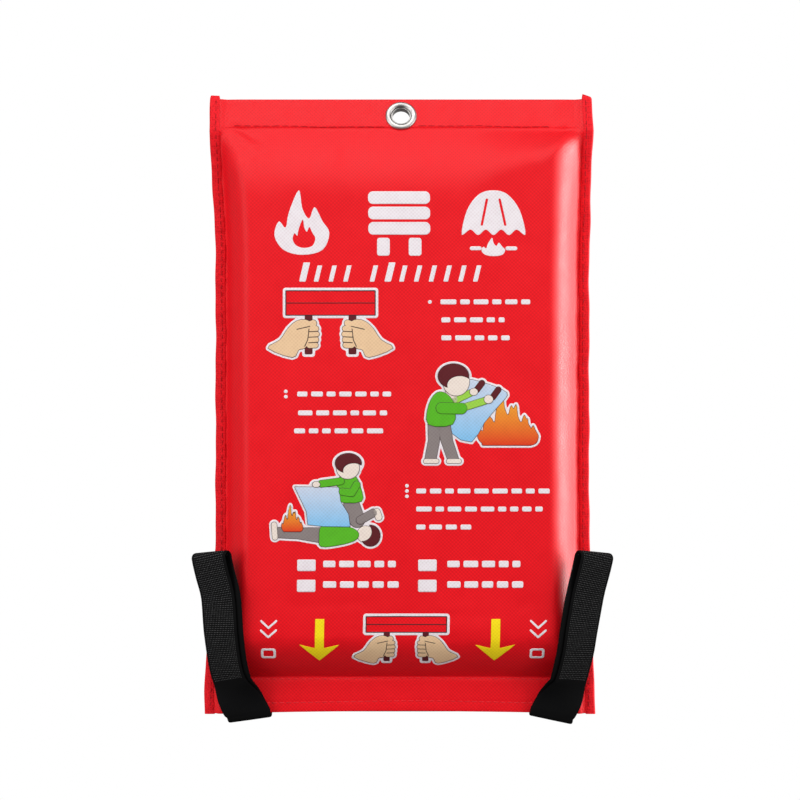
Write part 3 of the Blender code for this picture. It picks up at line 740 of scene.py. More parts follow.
def stitch_line(
    name, place, length, material, body, radius=THREAD_RADIUS, pitch=STITCH_PITCH, seen=STITCH_LENGTH
):
    """Separate stitches along a line. place(s) gives the point, the way along and the way
    out of the cloth at s metres from the start."""
    sides, rings = 8, 7
    verts, faces = [], []
    count = int(length / pitch)
    for k in range(count):
        start = (k + 0.5) * pitch - seen / 2 + rng.uniform(-0.08, 0.08) * MM
        base = len(verts)
        for r in range(rings):
            share = r / (rings - 1)
            point, along, out = place(start + share * seen)
            arch = math.sin(math.pi * share)
            lift = radius * (1.15 * arch**0.6 - 0.75)
            thick = radius * (0.45 + 0.55 * arch**0.5)
            side = np.cross(along, out)
            for q in range(sides):
                turn = 2 * math.pi * q / sides
                verts.append(point + out * (lift + thick * math.sin(turn)) + side * thick * math.cos(turn))
        for r in range(rings - 1):
            for q in range(sides):
                a, b = base + r * sides + q, base + r * sides + (q + 1) % sides
                faces.append((a, b, b + sides, a + sides))
        faces.append(range(base, base + sides)[::-1])
        faces.append(range(len(verts) - sides, len(verts)))
    mesh = bpy.data.meshes.new(name)
    mesh.from_pydata(np.array(verts).tolist(), [], [list(face) for face in faces])
    return link(name, mesh, material, body)


def unit(vector):
    vector = np.asarray(vector, float)
    return vector / np.linalg.norm(vector)


def on_front(x, z):
    return np.array((x + sway(x, z), float(front_surface(x, z)), z + arch(x, z)))


def make_header_stitching(side, name):
    """The seam under the header. Its right end turns up in a short back-tacked leg."""
    start = 7.6 * MM
    end = 81 * MM if side < 0 else 69 * MM
    leg = 0.0 if side < 0 else 2.6 * MM

    def place(s):
        x = side * min(start + s, end)
        z = HEADER_STITCH_Z + 0.3 * MM * math.sin(x / (15 * MM)) + 0.12 * MM * math.sin(x / (4.7 * MM))
        rise = max(start + s - end, 0.0)
        along = np.array((side, 0.0, 0.0)) if rise == 0 else HEADER_UP
        return on_front(x, z + rise), along, HEADER_NORMAL

    def behind(s):
        x = side * (start + s)
        point = np.array((x, float(back_surface(x, HEADER_STITCH_Z)), HEADER_STITCH_Z))
        return point, np.array((side, 0.0, 0.0)), -HEADER_NORMAL

    pitch = 4.4 * MM
    made = [
        stitch_line("seam", place, end - start + leg, red_thread, None, 0.17 * MM, pitch, 4.1 * MM),
        stitch_line("seam", behind, end - start, red_thread, None, 0.19 * MM, pitch, 3.6 * MM),
    ]
    item = join(made, "header_stitches_" + name, "pouch")
    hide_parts("header_thread_" + name)


def make_mouth_stitching(name, line_z, node):
    reach = 83 * MM

    def place(s):
        x = -reach + s
        z = line_z + 0.2 * MM * math.sin(x / (19 * MM) + 1)
        return on_front(x, z), np.array((1.0, 0, 0)), np.array((0, -1.0, 0))

    item = stitch_line(name, place, 2 * reach, hem_thread, "pouch", 0.19 * MM, STITCH_PITCH, 3.0 * MM)
    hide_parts(node)


def make_binding_stitching(side, name):
    top = BINDING_TOP_Z - 2 * MM

    def behind(s):
        point, along, out = place(s)
        return point + np.array((0, STACK + 1.2 * MM, 0)), along, -out

    def place(s):
        z = top - s
        back = edge_back_y(z)
        x = half_width(z) - 3.1 * MM + 0.16 * MM * math.sin(z / MM / 7.3)
        along = unit((0, edge_back_y(min(z, HEADER_TOP_Z) - MM) - back, -MM))
        out = unit(np.cross(along, (side * 1.0, 0, 0))) * side
        if out[1] > 0:
            out = -out
        x = side * x + sway(side * x, z)
        return np.array((x, back - STACK - 0.66 * MM, z)), along, out

    made = [stitch_line("seam", at, top - MOUTH_Z - 2 * MM, red_thread, None) for at in (place, behind)]
    item = join(made, "binding_stitches_" + name, "pouch")
    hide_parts("binding_thread_" + name)


# ---------------------------------------------------------------- eyelet


def make_eyelet():
    """Rolled nickel eyelet: a domed flange, a tube through the header and a rolled rim."""
    seat = 0.62 * MM
    bore, tube, rim, crown = 4.0 * MM, 4.4 * MM, 7.25 * MM, seat + 1.05 * MM
    middle = (4.55 * MM + rim) / 2
    reach = (rim - 4.55 * MM) / 2
    profile = [(bore, -1.7 * MM), (bore, 0.0), (bore + 0.04 * MM, seat + 0.3 * MM)]
    for k in range(17):
        turn = math.pi * (1 - k / 16)
        bulge = max(math.sin(turn), 0.0) ** 0.8
        profile.append((middle + reach * math.cos(turn), seat + 0.18 * MM + (crown - seat) * bulge))
    profile += [(rim + 0.02 * MM, seat + 0.02 * MM), (rim - 0.25 * MM, seat), (tube, seat)]
    profile += [(tube, -1.75 * MM)]
    for k in range(9):
        turn = math.pi * k / 8
        profile.append((tube + 0.65 * MM * (1 - math.cos(turn)), -1.75 * MM - 0.55 * MM * math.sin(turn)))
    profile += [(tube + 1.1 * MM, -1.62 * MM), (tube + 0.6 * MM, -2.0 * MM), (tube, -2.2 * MM)]
    profile += [(bore + 0.1 * MM, -2.1 * MM)]
    item = revolve("nickel_eyelet", profile, 96)
    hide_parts("eyelet_barrel")
    washer = [(4.6 * MM, -0.75 * MM), (7.2 * MM, -0.75 * MM), (7.25 * MM, -0.85 * MM)]
    for k in range(7):
        turn = math.pi / 2 * k / 6
        washer.append((6.4 * MM + 0.8 * MM * math.cos(turn), -1.0 * MM - 0.4 * MM * math.sin(turn)))
    washer += [(5.2 * MM, -1.32 * MM), (4.7 * MM, -1.1 * MM)]
    back = revolve("nickel_washer", washer, 96)
    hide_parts("eyelet_washer")


def revolve(name, profile, steps):
    rings = []
    for k in range(steps):
        turn = 2 * math.pi * k / steps
        out = np.array((math.cos(turn), 0, 0)) + HEADER_UP * math.sin(turn)
        rings.append([out * r + HEADER_NORMAL * h for r, h in profile])
    mesh = grid_mesh(name, np.array(rings), wrap_u=True, wrap_v=True)
    close_ends(mesh)
    return link(name, mesh, nickel, "pouch", 45)


# ---------------------------------------------------------------- blanket

BLANKET_SIDE = 1.0
LONG_LAYERS = 5
CLOTH_PITCH = (pack_high[1] - pack_low[1]) / 35.5
BUNDLE = CLOTH_PITCH * LONG_LAYERS
EDGE_ROUNDING = 4.5 * MM
REAR_LOWER_ROUNDING = 1.2 * MM  # less, because the hem lies against it
HEM_OVERLAP = 7.0 * MM
HEM_THICKNESS = 0.7 * MM


def serpentine(ends, pitch, straight_steps, turn_steps):
    """Points, normals and arc length of a path that runs to and fro between ends."""
    points, normals = [], []
    count = len(ends)
    for k, (low, high) in enumerate(ends):
        forward = k % 2 == 0
        a, b = (low, high) if forward else (high, low)
        for s in (1 - np.cos(np.linspace(0, math.pi, straight_steps))) / 2:
            points.append((a + (b - a) * s, k * pitch))
            normals.append((0, 1 if forward else -1))
        if k == count - 1:
            break
        sign = 1 if forward else -1
        for q in range(1, turn_steps):
            turn = math.pi * q / turn_steps
            rise = pitch / 2 * (1 - math.cos(turn))
            points.append((b + sign * pitch / 2 * math.sin(turn), k * pitch + rise))
            normals.append((-sign * math.sin(turn), math.cos(turn)))
    points, normals = np.array(points), np.array(normals)
    run = np.concatenate([[0], np.cumsum(np.hypot(*np.diff(points, axis=0).T))])
    return points, normals, run


def cut_to(points, normals, run, length):
    keep = run <= length
    last = [np.interp(length, run, points[:, k]) for k in range(2)]
    points = np.vstack([points[keep], last])
    normals = np.vstack([normals[keep], normals[keep][-1]])
    return points, normals, np.append(run[keep], length)


def make_blanket():
    """One square of cloth folded lengthwise into a strip, and the strip folded again."""
    half = (pack_high[0] - pack_low[0]) / 2
    deep = (pack_high[1] - pack_low[1]) / 2
    corner = deep - 0.9 * MM
    ends = []
    for k in range(8):
        depth = abs(-deep + BUNDLE / 2 + (k + 0.5) * BUNDLE)
        inset = corner - math.sqrt(max(corner**2 - min(depth, corner) ** 2, 0))
        reach = half - BUNDLE * 0.62 - inset * 0.9
        ends.append((-reach + rng.uniform(0, 1.4) * MM, reach - rng.uniform(0, 1.4) * MM))
    wide, wide_normal, wide_run = serpentine(ends, BUNDLE, 14, 10)
    wide, wide_normal, wide_run = cut_to(wide, wide_normal, wide_run, min(BLANKET_SIDE, wide_run[-1]))
    tall_ends = []
    top, bottom = pack_high[2] - 0.5 * MM, pack_low[2] + 0.5 * MM
    for k in range(LONG_LAYERS):
        tall_ends.append((bottom + rng.uniform(0, 1.5) * MM, top - rng.uniform(0, 1.5) * MM))
    tall, tall_normal, tall_run = serpentine(tall_ends, CLOTH_PITCH, 12, 6)
    tall, tall_normal, tall_run = cut_to(tall, tall_normal, tall_run, min(BLANKET_SIDE, tall_run[-1]))
    offset = tall[:, 1] - BUNDLE / 2 + CLOTH_PITCH / 2
    x = wide[:, None, 0] + wide_normal[:, None, 0] * offset[None, :]
    y = wide[:, None, 1] + wide_normal[:, None, 1] * offset[None, :]
    y = y + pack_low[1] + BUNDLE / 2 + CLOTH_PITCH * 0.25
    z = np.broadcast_to(tall[None, :, 0], x.shape).copy()
    middle_y = (pack_low[1] + pack_high[1]) / 2
    centre_z = (top + bottom) / 2
    softness = np.where((y > middle_y) & (z < centre_z), REAR_LOWER_ROUNDING, EDGE_ROUNDING)
    round_off = np.clip((np.abs(y - middle_y) / deep) ** 3, 0, 1) * softness
    z = centre_z + (z - centre_z) * (1 - round_off / (top - centre_z))
    sag = 1.2 * MM * np.sin(x / (31 * MM) + y / (6 * MM)) * ((z - centre_z) / (top - centre_z)) ** 3
    points = np.stack([x, y, z + sag], axis=-1)
    uv = np.stack(np.broadcast_arrays(wide_run[:, None] / MM, tall_run[None, :] / MM), axis=-1)
    item = link("folded_blanket", grid_mesh("folded_blanket", points, uv), glass_cloth, "blanket", 50)
    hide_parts("blanket")


def make_hem_tape():
    rows = spaced(hem_low[2], hem_high[2] + HEM_OVERLAP, 1.2 * MM)
    columns = spaced(hem_low[0], hem_high[0], 2.5 * MM)
    x, z = np.meshgrid(columns, rows)
    y = (hem_low[1] + hem_high[1]) / 2 - 0.3 * MM + 0.12 * MM * np.sin(x / (8 * MM)) * np.cos(z / (3 * MM))
    uv = np.stack([x / MM, z / MM], axis=-1)
    mesh = grid_mesh("blanket_hem", np.stack([x, y, z], axis=-1), uv)
    item = link("blanket_hem", mesh, glass_cloth, "blanket")
    turn_out(item, (0, -1, 0))
    thicken(item, HEM_THICKNESS)
    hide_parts("blanket_hem_tape")


# ---------------------------------------------------------------- straps

STRAP_WIDTH = root_high[0] - root_low[0]
STRAP_X = (root_high[0] + root_low[0]) / 2
WEB = 1.05 * MM
HINGE_Y, HINGE_Z = hinges["strap_right_fold_hinge"]["pos_m"][1:]
TAIL_Y = (root_high[1] + root_low[1]) / 2
FOLD_RADIUS = TAIL_Y - HINGE_Y
LAYER = 0.66 * MM  # middle of each layer from the middle of the pair
LOOP_RADIUS = 2.0 * MM
SPLIT_Z = HINGE_Z + 11 * MM
FOLD_Z = HINGE_Z + 1.5 * MM
FOLD_FLATNESS = 0.7
DRIFT = 2.6 * MM  # how far the rear layer slips inward
STATIONS = 60
PLAIN_V = -200  # v of the tails, which keeps them clear of the woven stretch
# Each strap is folded up over the pouch's front on a slanting fold. Its route is given as
# (height above the hinge, outward shift) in mm; fold is the slant of the fold, and turn how
# far the webbing faces outward.
STRAPS = {
    "left": {
        "side": -1,
        "route": (
            (1.5, 0.3), (8, 3.7), (17.6, 8.1), (25.4, 10.2),
            (40.6, 11.9), (57, 12.9), (68.6, 15.0), (76, 16.3),
        ),
        "fold": math.radians(8),
        "turn": math.radians(33),
    },
    "right": {
        "side": 1,
        "route": (
            (1.5, -0.6), (8, 2.9), (13.6, 5.6), (19.3, 7.9),
            (31.2, 10.5), (43.2, 12.1), (59.8, 14.8), (76, 17.8),
        ),
        "fold": math.radians(12),
        "turn": math.radians(36),
    },
}
# Forward shift of the strap's middle, as it climbs the pouch's lower slope, in mm
STRAP_CLIMB = ((0, 0), (9, 1.6), (19, 4.2), (29, 7.0), (38, 9.2), (48, 10.6), (60, 11.6), (76, 12.2))


def smooth_route(points, count):
    padded = np.vstack([2 * points[0] - points[1], points, 2 * points[-1] - points[-2]])
    route = []
    for k in range(count + 1):
        at = k / count * (len(points) - 1)
        i = min(int(at), len(points) - 2)
        route.append(spline(*padded[i : i + 4], at - i))
    return np.array(route)


def even_route(points, count):
    """A smooth route through points, with its stations an equal distance apart."""
    fine = smooth_route(points, count * 6)
    run = np.concatenate([[0], np.cumsum(np.linalg.norm(np.diff(fine, axis=0), axis=1))])
    at = np.linspace(0, run[-1], count + 1)
    return np.stack([np.interp(at, run, fine[:, k]) for k in range(3)], axis=-1)


def fold_axis(strap):
    tilt = strap["fold"]
    return np.array((math.cos(tilt), 0, -strap["side"] * math.sin(tilt)))


def folded_frames(strap):
    """Middle, outward normal and across direction of the doubled strap in front. The
    across direction starts along the slanting fold and ends square to the webbing."""
    side = strap["side"]
    climb = np.array(STRAP_CLIMB)
    points = []
    for height, outward in strap["route"]:
        forward = np.interp(height, climb[:, 0], climb[:, 1])
        points.append((
            side * (STRAP_X + outward * MM),
            HINGE_Y - FOLD_RADIUS - forward * MM,
            HINGE_Z + height * MM,
        ))
    route = even_route(np.array(points), STATIONS)
    axis = fold_axis(strap) / math.cos(strap["fold"])
    frames = []
    for i, point in enumerate(route):
        along = unit(route[min(i + 1, STATIONS)] - route[max(i - 1, 0)])
        turn = strap["turn"] * smooth((i + 2) / 17)
        facing = np.array((side * math.sin(turn), -math.cos(turn), 0))
        square = unit(np.cross(along, facing))
        share = smooth(i / 14)
        across = axis * (1 - share) + square * share
        normal = unit(np.cross(across, along))
        across = across / np.linalg.norm(across - along * np.dot(across, along))
        frames.append((point, normal, across))
    return frames


def webbing_section(point, normal, across):
    """Twelve points round the webbing, with soft selvedges, and the u of each."""
    half, thick = STRAP_WIDTH / 2, WEB / 2
    shape = ((-1, 0), (-0.965, 0.75), (-0.9, 1), (0, 1.08), (0.9, 1), (0.965, 0.75), (1, 0))
    shape += ((0.965, -0.75), (0.9, -1), (0, -1.08), (-0.9, -1), (-0.965, -0.75))
    ring = [point + across * half * a + normal * thick * b for a, b in shape]
    return ring, [half * a / MM for a, _ in shape]


def make_strap(name):
    strap = STRAPS[name]
    side = strap["side"]
    frames = folded_frames(strap)
    axis = fold_axis(strap)
    down = unit(np.cross(axis, (0, 1.0, 0)))
    down = down if down[2] < 0 else -down
    wide_axis = axis / math.cos(strap["fold"])
    start_x = side * STRAP_X
    shift = frames[0][0][0] - start_x
    path = []

    def add(point, normal, across):
        path.append((point, normal, across))

    def turned(k, radius, flip):
        """Station k of 16 round the fold at the mouth, whose middle line is a flat oval."""
        turn = math.pi * k / 16
        ahead, low = math.cos(turn), math.sin(turn)
        middle = np.array((start_x + shift * k / 16, HINGE_Y + FOLD_RADIUS * ahead, FOLD_Z))
        middle = middle + down * FOLD_RADIUS * FOLD_FLATNESS * low
        out = unit(np.array((0, FOLD_FLATNESS * ahead, 0)) + down * low)
        add(middle + out * (radius - FOLD_RADIUS), out * flip, wide_axis)

    def tail(z, offset, flip):
        """A station of the tail just inside the mouth, where the slant of the fold fades."""
        share = smooth((z - FOLD_Z) / (SPLIT_Z - FOLD_Z))
        across = wide_axis * (1 - share) + np.array((share, 0, 0))
        add(np.array((start_x, TAIL_Y + offset, z)), np.array((0, 1.0, 0)) * flip, across)

    tail_heights = np.linspace(SPLIT_Z, FOLD_Z + 0.8 * MM, 9)
    for z in tail_heights:
        tail(z, LAYER, 1)
    for k in range(17):
        turned(k, FOLD_RADIUS + LAYER, 1)
    zero_station = len(path) - 1
    inner = []
    last = len(frames) - 1
    for i, (point, normal, across) in enumerate(frames[1:], start=1):
        opening = LAYER + (LOOP_RADIUS - LAYER) * smooth(4.0 * i / last - 3)
        add(point + normal * opening, normal, across)
        slip = smooth(i / 22) * (1 - 0.85 * smooth((i - last + 16) / 16))
        drift = DRIFT * slip
        inner.append((point - normal * opening - across * side * drift, -normal, across))
    point, normal, across = frames[-1]
    along = unit(frames[-1][0] - frames[-2][0])
    for k in range(1, 14):
        turn = math.pi * k / 14
        out = normal * math.cos(turn) + along * math.sin(turn)
        drift = 0.15 * DRIFT * k / 14
        add(point + out * LOOP_RADIUS - across * side * drift, out, across)
    path.extend(inner[::-1])
    for k in range(16, -1, -1):
        turned(k, FOLD_RADIUS - LAYER, -1)
    for z in tail_heights[::-1]:
        tail(z, -LAYER, -1)

    points = np.array([place[0] for place in path])
    run = np.concatenate([[0], np.cumsum(np.linalg.norm(np.diff(points, axis=0), axis=1))])
    rings, uvs = [], []
    for k, (point, normal, across) in enumerate(path):
        ring, u = webbing_section(point, normal, across)
        rings.append(ring)
        uvs.append([(side * value, (run[k] - run[zero_station]) / MM) for value in u])
    mesh = tube_mesh("strap_" + name, np.array(rings), np.array(uvs))
    item = link("pull_strap_" + name, mesh, webbing, None, 60)
    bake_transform(item)
    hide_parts("strap_" + name + "_fold", "strap_" + name + "_loop")
    make_tail(side, name)


def make_tail(side, name):
    """The strap's two sewn tails, between the mouth and the blanket's hem."""
    for label, offset, flip in (("rear", LAYER, 1), ("front", -LAYER, -1)):
        rings, uvs = [], []
        for z in spaced(SPLIT_Z, root_high[2], 2.5 * MM):
            at = np.array((side * STRAP_X, TAIL_Y + offset, z))
            ring, u = webbing_section(at, np.array((0, 1.0, 0)) * flip, np.array((1.0, 0, 0)))
            rings.append(ring)
            uvs.append([(value, PLAIN_V + z / MM) for value in u])
        mesh = tube_mesh("strap_tail", np.array(rings), np.array(uvs))
        item = link("strap_tail_" + label + "_" + name, mesh, webbing, "blanket", 60)
        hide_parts("strap_" + name + "_root")


def make_box_stitching(name):
    """A sewn square with a cross, on the front of the hem tape."""
    (left, _, low), (right, _, high) = span("strap_" + name + "_stitching")
    y = hem_low[1] - 0.28 * MM
    places = ((left, low), (right, low), (right, high), (left, high))
    corners = [np.array((x, y, z)) for x, z in places]
    made = []
    for a, b in ((0, 1), (1, 2), (2, 3), (3, 0), (0, 2), (3, 1)):
        start, finish = corners[a], corners[b]
        length = float(np.linalg.norm(finish - start))
        along = unit(finish - start)

        def place(s, start=start, along=along):
            return start + along * s, along, np.array((0, -1.0, 0))

        made.append(stitch_line("leg", place, length, black_thread, None, 0.22 * MM, 2.5 * MM, 2.1 * MM))
    item = join(made, "strap_stitches_" + name, "blanket")
    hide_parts("strap_" + name + "_stitching")


def join(items, name, body):
    bm = bmesh.new()
    for item in items:
        bm.from_mesh(item.data)
    mesh = bpy.data.meshes.new(name)
    bm.to_mesh(mesh)
    bm.free()
    material = items[0].data.materials[0]
    for item in items:
        bpy.data.objects.remove(item, do_unlink=True)
    return link(name, mesh, material, body)


# ---------------------------------------------------------------- closure strips


def make_strip(name, tufts_out):
    """A tape with a field of small tufts on its gripping face."""
    low, high = span("closure_" + name)
    rows = spaced(low[2], high[2], 0.9 * MM)
    columns = spaced(low[0], high[0], 1.2 * MM)
    x, z = np.meshgrid(columns, rows)
    rim = np.minimum(np.minimum(x - low[0], high[0] - x), np.minimum(z - low[2], high[2] - z))
    tuft = smooth(rim / (1.5 * MM)) * (0.3 + 0.7 * rng.random(x.shape))
    thick = high[1] - low[1]
    base = high[1] if tufts_out < 0 else low[1]
    y = base + tufts_out * thick * (0.45 + 0.5 * tuft)
    top = np.stack([x, y, z], axis=-1)
    under = np.stack([x, np.full(x.shape, base), z], axis=-1)[::-1]
    points = np.concatenate([top, under])
    mesh = grid_mesh(name, points, wrap_u=True)
    bm = bmesh.new()
    bm.from_mesh(mesh)
    bmesh.ops.holes_fill(bm, edges=[e for e in bm.edges if e.is_boundary], sides=0)
    bmesh.ops.recalc_face_normals(bm, faces=bm.faces)
    bm.to_mesh(mesh)
    bm.free()
    item = link(name, mesh, hook_cloth, "pouch", 60)
    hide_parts("closure_" + name)


make_front()
make_back()
for side, name in ((-1, "left"), (1, "right")):
    make_binding(side, name)
    make_header_stitching(side, name)
    make_binding_stitching(side, name)
make_mouth_stitching("crease_stitches", CREASE_STITCH_Z, "mouth_thread_upper")
make_mouth_stitching("hem_stitches", HEM_STITCH_Z, "mouth_thread_lower")
make_eyelet()
make_blanket()
make_hem_tape()
for side, name in ((-1, "left"), (1, "right")):
    make_strap(name)
    make_box_stitching(name)
make_strip("hook_strip", -1)
make_strip("loop_strip", 1)

# ---------------------------------------------------------------- print

# Every figure is drawn in mm on the pouch's front: x to the right, z up from the eyelet.
# A shape is a distance function: negative inside, positive outside.
INK_LIFT = 0.05 * MM
INK_LAYER = 0.025 * MM
INK_FILM = 0.08 * MM


def to_segment(x, z, a, b):
    """Distance from x, z to the straight line between a and b."""
    edge = b - a
    share = ((x - a[0]) * edge[0] + (z - a[1]) * edge[1]) / max(edge @ edge, 1e-12)
    share = np.clip(share, 0, 1)
    return np.hypot(x - a[0] - share * edge[0], z - a[1] - share * edge[1])


def polygon(points, curved=0):
    """Distance to a closed outline; curved > 0 rounds it with that many steps a side."""
    corners = np.array(points, float)
    if curved:
        rounded = []
        count = len(corners)
        for k in range(count):
            near = [corners[(k + q) % count] for q in (-1, 0, 1, 2)]
            rounded += [spline(*near, t) for t in np.linspace(0, 1, curved, endpoint=False)]
        corners = np.array(rounded)

    def distance(x, z):
        nearest = np.full(x.shape, 1e9)
        inside = np.zeros(x.shape, bool)
        for a, b in zip(corners, np.roll(corners, -1, axis=0)):
            nearest = np.minimum(nearest, to_segment(x, z, a, b))
            if a[1] != b[1]:
                crossing = a[0] + (z - a[1]) * (b[0] - a[0]) / (b[1] - a[1])
                inside ^= ((a[1] > z) != (b[1] > z)) & (x < crossing)
        return np.where(inside, -nearest, nearest)

    return distance, (corners.min(axis=0), corners.max(axis=0))


def line(points, width):
    """Distance to a round-ended line."""
    path = np.array(points, float)

    def distance(x, z):
        legs = [to_segment(x, z, a, b) for a, b in zip(path[:-1], path[1:])]
        return np.minimum.reduce(legs) - width / 2

    return distance, (path.min(axis=0) - width / 2, path.max(axis=0) + width / 2)


def ellipse(centre, radii):
    cx, cz = centre
    rx, rz = radii

    def distance(x, z):
        return (np.hypot((x - cx) / rx, (z - cz) / rz) - 1) * min(rx, rz)

    return distance, (np.array((cx - rx, cz - rz)), np.array((cx + rx, cz + rz)))


def bar(left, low, right, high, corner=0.3):
    """A box with rounded corners."""
    cx, cz = (left + right) / 2, (low + high) / 2
    hx, hz = (right - left) / 2 - corner, (high - low) / 2 - corner

    def distance(x, z):
        qx, qz = np.abs(x - cx) - hx, np.abs(z - cz) - hz
        outside = np.hypot(np.maximum(qx, 0), np.maximum(qz, 0))
        return outside + np.minimum(np.maximum(qx, qz), 0) - corner

    return distance, (np.array((left, low)), np.array((right, high)))


def joined(shapes, grow=0.0):
    def distance(x, z):
        return np.minimum.reduce([shape[0](x, z) for shape in shapes]) - grow

    low = np.minimum.reduce([shape[1][0] for shape in shapes]) - grow
    high = np.maximum.reduce([shape[1][1] for shape in shapes]) + grow
    return distance, (low, high)


def without(shape, *holes):
    def distance(x, z):
        value = shape[0](x, z)
        for hole in holes:
            value = np.maximum(value, -hole[0](x, z))
        return value

    return distance, shape[1]


def swollen(shape, by):
    """The shape with its outline pushed out, within the margin of its own box."""
    return (lambda x, z: shape[0](x, z) - by), shape[1]


def moved(shape, dx, dz, size=1.0, mirror=False):
    sign = -1.0 if mirror else 1.0

    def distance(x, z):
        return shape[0]((x - dx) / size * sign, (z - dz) / size) * size

    low, high = shape[1]
    ends = sorted((low[0] * sign * size + dx, high[0] * sign * size + dx))
    return distance, (np.array((ends[0], low[1] * size + dz)), np.array((ends[1], high[1] * size + dz)))


class Ink:
    """All shapes of one colour, filled on a fine grid and laid on the cloth."""

    def __init__(self, name, first, second=None):
        self.name, self.first, self.second = name, first, second or first
        self.points, self.faces, self.shade = [], [], []

    def fill(self, shape, layer=1, step=0.5):
        """Marching squares over the shape's box."""
        distance, (low, high) = shape
        columns = np.arange(low[0] - step, high[0] + 2 * step, step)
        rows = np.arange(low[1] - step, high[1] + 2 * step, step)
        value = distance(*np.meshgrid(columns, rows))
        value = np.where(np.abs(value) < 1e-6, 1e-6, value)
        solid = value < 0
        made = {}

        def vertex(here, there):
            """The corner here, or where the outline crosses on the way to there."""
            key = (min(here, there), max(here, there))
            if key not in made:
                made[key] = len(self.points)
                share = 0.0 if here == there else value[here] / (value[here] - value[there])
                x = columns[here[1]] + (columns[there[1]] - columns[here[1]]) * share
                z = rows[here[0]] + (rows[there[0]] - rows[here[0]]) * share
                self.points.append((x, z, layer))
                self.shade.append((z - low[1]) / max(high[1] - low[1], 1e-6))
            return made[key]

        touched = solid[:-1, :-1] | solid[1:, :-1] | solid[:-1, 1:] | solid[1:, 1:]
        for j, i in np.argwhere(touched):
            ring = ((j, i), (j, i + 1), (j + 1, i + 1), (j + 1, i))
            face = []
            for here, there in zip(ring, ring[1:] + ring[:1]):
                if solid[here]:
                    face.append(vertex(here, here))
                if solid[here] != solid[there]:
                    face.append(vertex(here, there) if solid[here] else vertex(there, here))
            if len(face) > 2:
                self.faces.append(face)

    def lay(self):
        flat = np.array(self.points)
        x, z = flat[:, 0] * MM, flat[:, 1] * MM
        y = front_surface(x, z) - INK_LIFT - INK_LAYER * flat[:, 2]
        places = np.stack([x + sway(x, z), y, z + arch(x, z)], axis=-1)
        name = "print_" + self.name
        mesh = bpy.data.meshes.new(name)
        mesh.from_pydata(places.tolist(), [], self.faces)
        mesh.validate()
        layer = mesh.attributes.new("shade", "FLOAT", "POINT")
        layer.data.foreach_set("value", np.array(self.shade, np.float32))
        item = link(name, mesh, ink_material(self.name, self.first, self.second), "pouch")
        turn_out(item, (0, -1, 0))
        thicken(item, INK_FILM)


def ink_material(name, first, second):
    """Screen ink on the embossed cloth, from the first colour low down to the second
    higher up, thinner on the ridges of the emboss."""
    n = Nodes("ink_" + name)
    at = n.place()
    mesh = emboss(n, at)
    shade = n.add("Attribute", attribute_name="shade").outputs["Fac"]
    colour = n.mix(shade, first, second)
    patch = n.noise(at, 240.0, 4.0, 0.6)
    worn = n.total((mesh, 0.5), (patch, 0.6))
    thin = n.mix(1.0, colour, (0.86, 0.8, 0.81, 1.0), "MULTIPLY")
    return n.finish(
        Base_Color=n.mix(n.ramp(worn, 0.45, 0.95), colour, thin),
        Roughness=n.ramp(worn, 0.3, 1.0, 0.5, 0.62),
        Normal=n.bump(n.total((mesh, 0.7), (patch, 0.4)), 0.04 * MM, 0.6),
        Specular_IOR_Level=0.25,
    )


white = Ink("white", srgb(240, 232, 236))
maroon = Ink("maroon", srgb(92, 22, 30))
outline = Ink("outline", srgb(58, 36, 40))
skin = Ink("skin", srgb(236, 200, 158))
pale_skin = Ink("pale_skin", srgb(240, 226, 214))
green = Ink("green", srgb(88, 184, 32))
sleeve = Ink("sleeve", srgb(158, 214, 74))
grey = Ink("grey", srgb(138, 128, 126))
blue = Ink("blue", srgb(130, 196, 240), srgb(205, 216, 234))
flame = Ink("flame", srgb(226, 58, 24), srgb(246, 178, 52))
yellow = Ink("yellow", srgb(255, 228, 20))
INKS = (white, maroon, outline, skin, pale_skin, green, sleeve, grey, blue, flame, yellow)

FLAME_TALL = (
    (0.0, 0.0), (-0.34, 0.08), (-0.5, 0.3), (-0.42, 0.52), (-0.3, 0.42), (-0.24, 0.66),
    (-0.06, 1.0), (0.0, 0.72), (0.12, 0.56), (0.22, 0.74), (0.36, 0.52), (0.48, 0.34), (0.36, 0.08),
)


def flame_outline(x, z, width, height, curved=4):
    return polygon([(x + u * width, z + v * height) for u, v in FLAME_TALL], curved)


def wide_fire(x, z, width, height):
    """A low fire of four tongues on a common bed."""
    tongues = ((0.2, 0.5, 0.62), (0.45, 0.6, 1.0), (0.7, 0.55, 0.76), (0.9, 0.38, 0.5))
    shapes = [flame_outline(x + u * width, z, w * width, h * height, 3) for u, w, h in tongues]
    return joined(shapes + [bar(x + 0.04 * width, z, x + 0.96 * width, z + 0.22 * height, 0.5)])


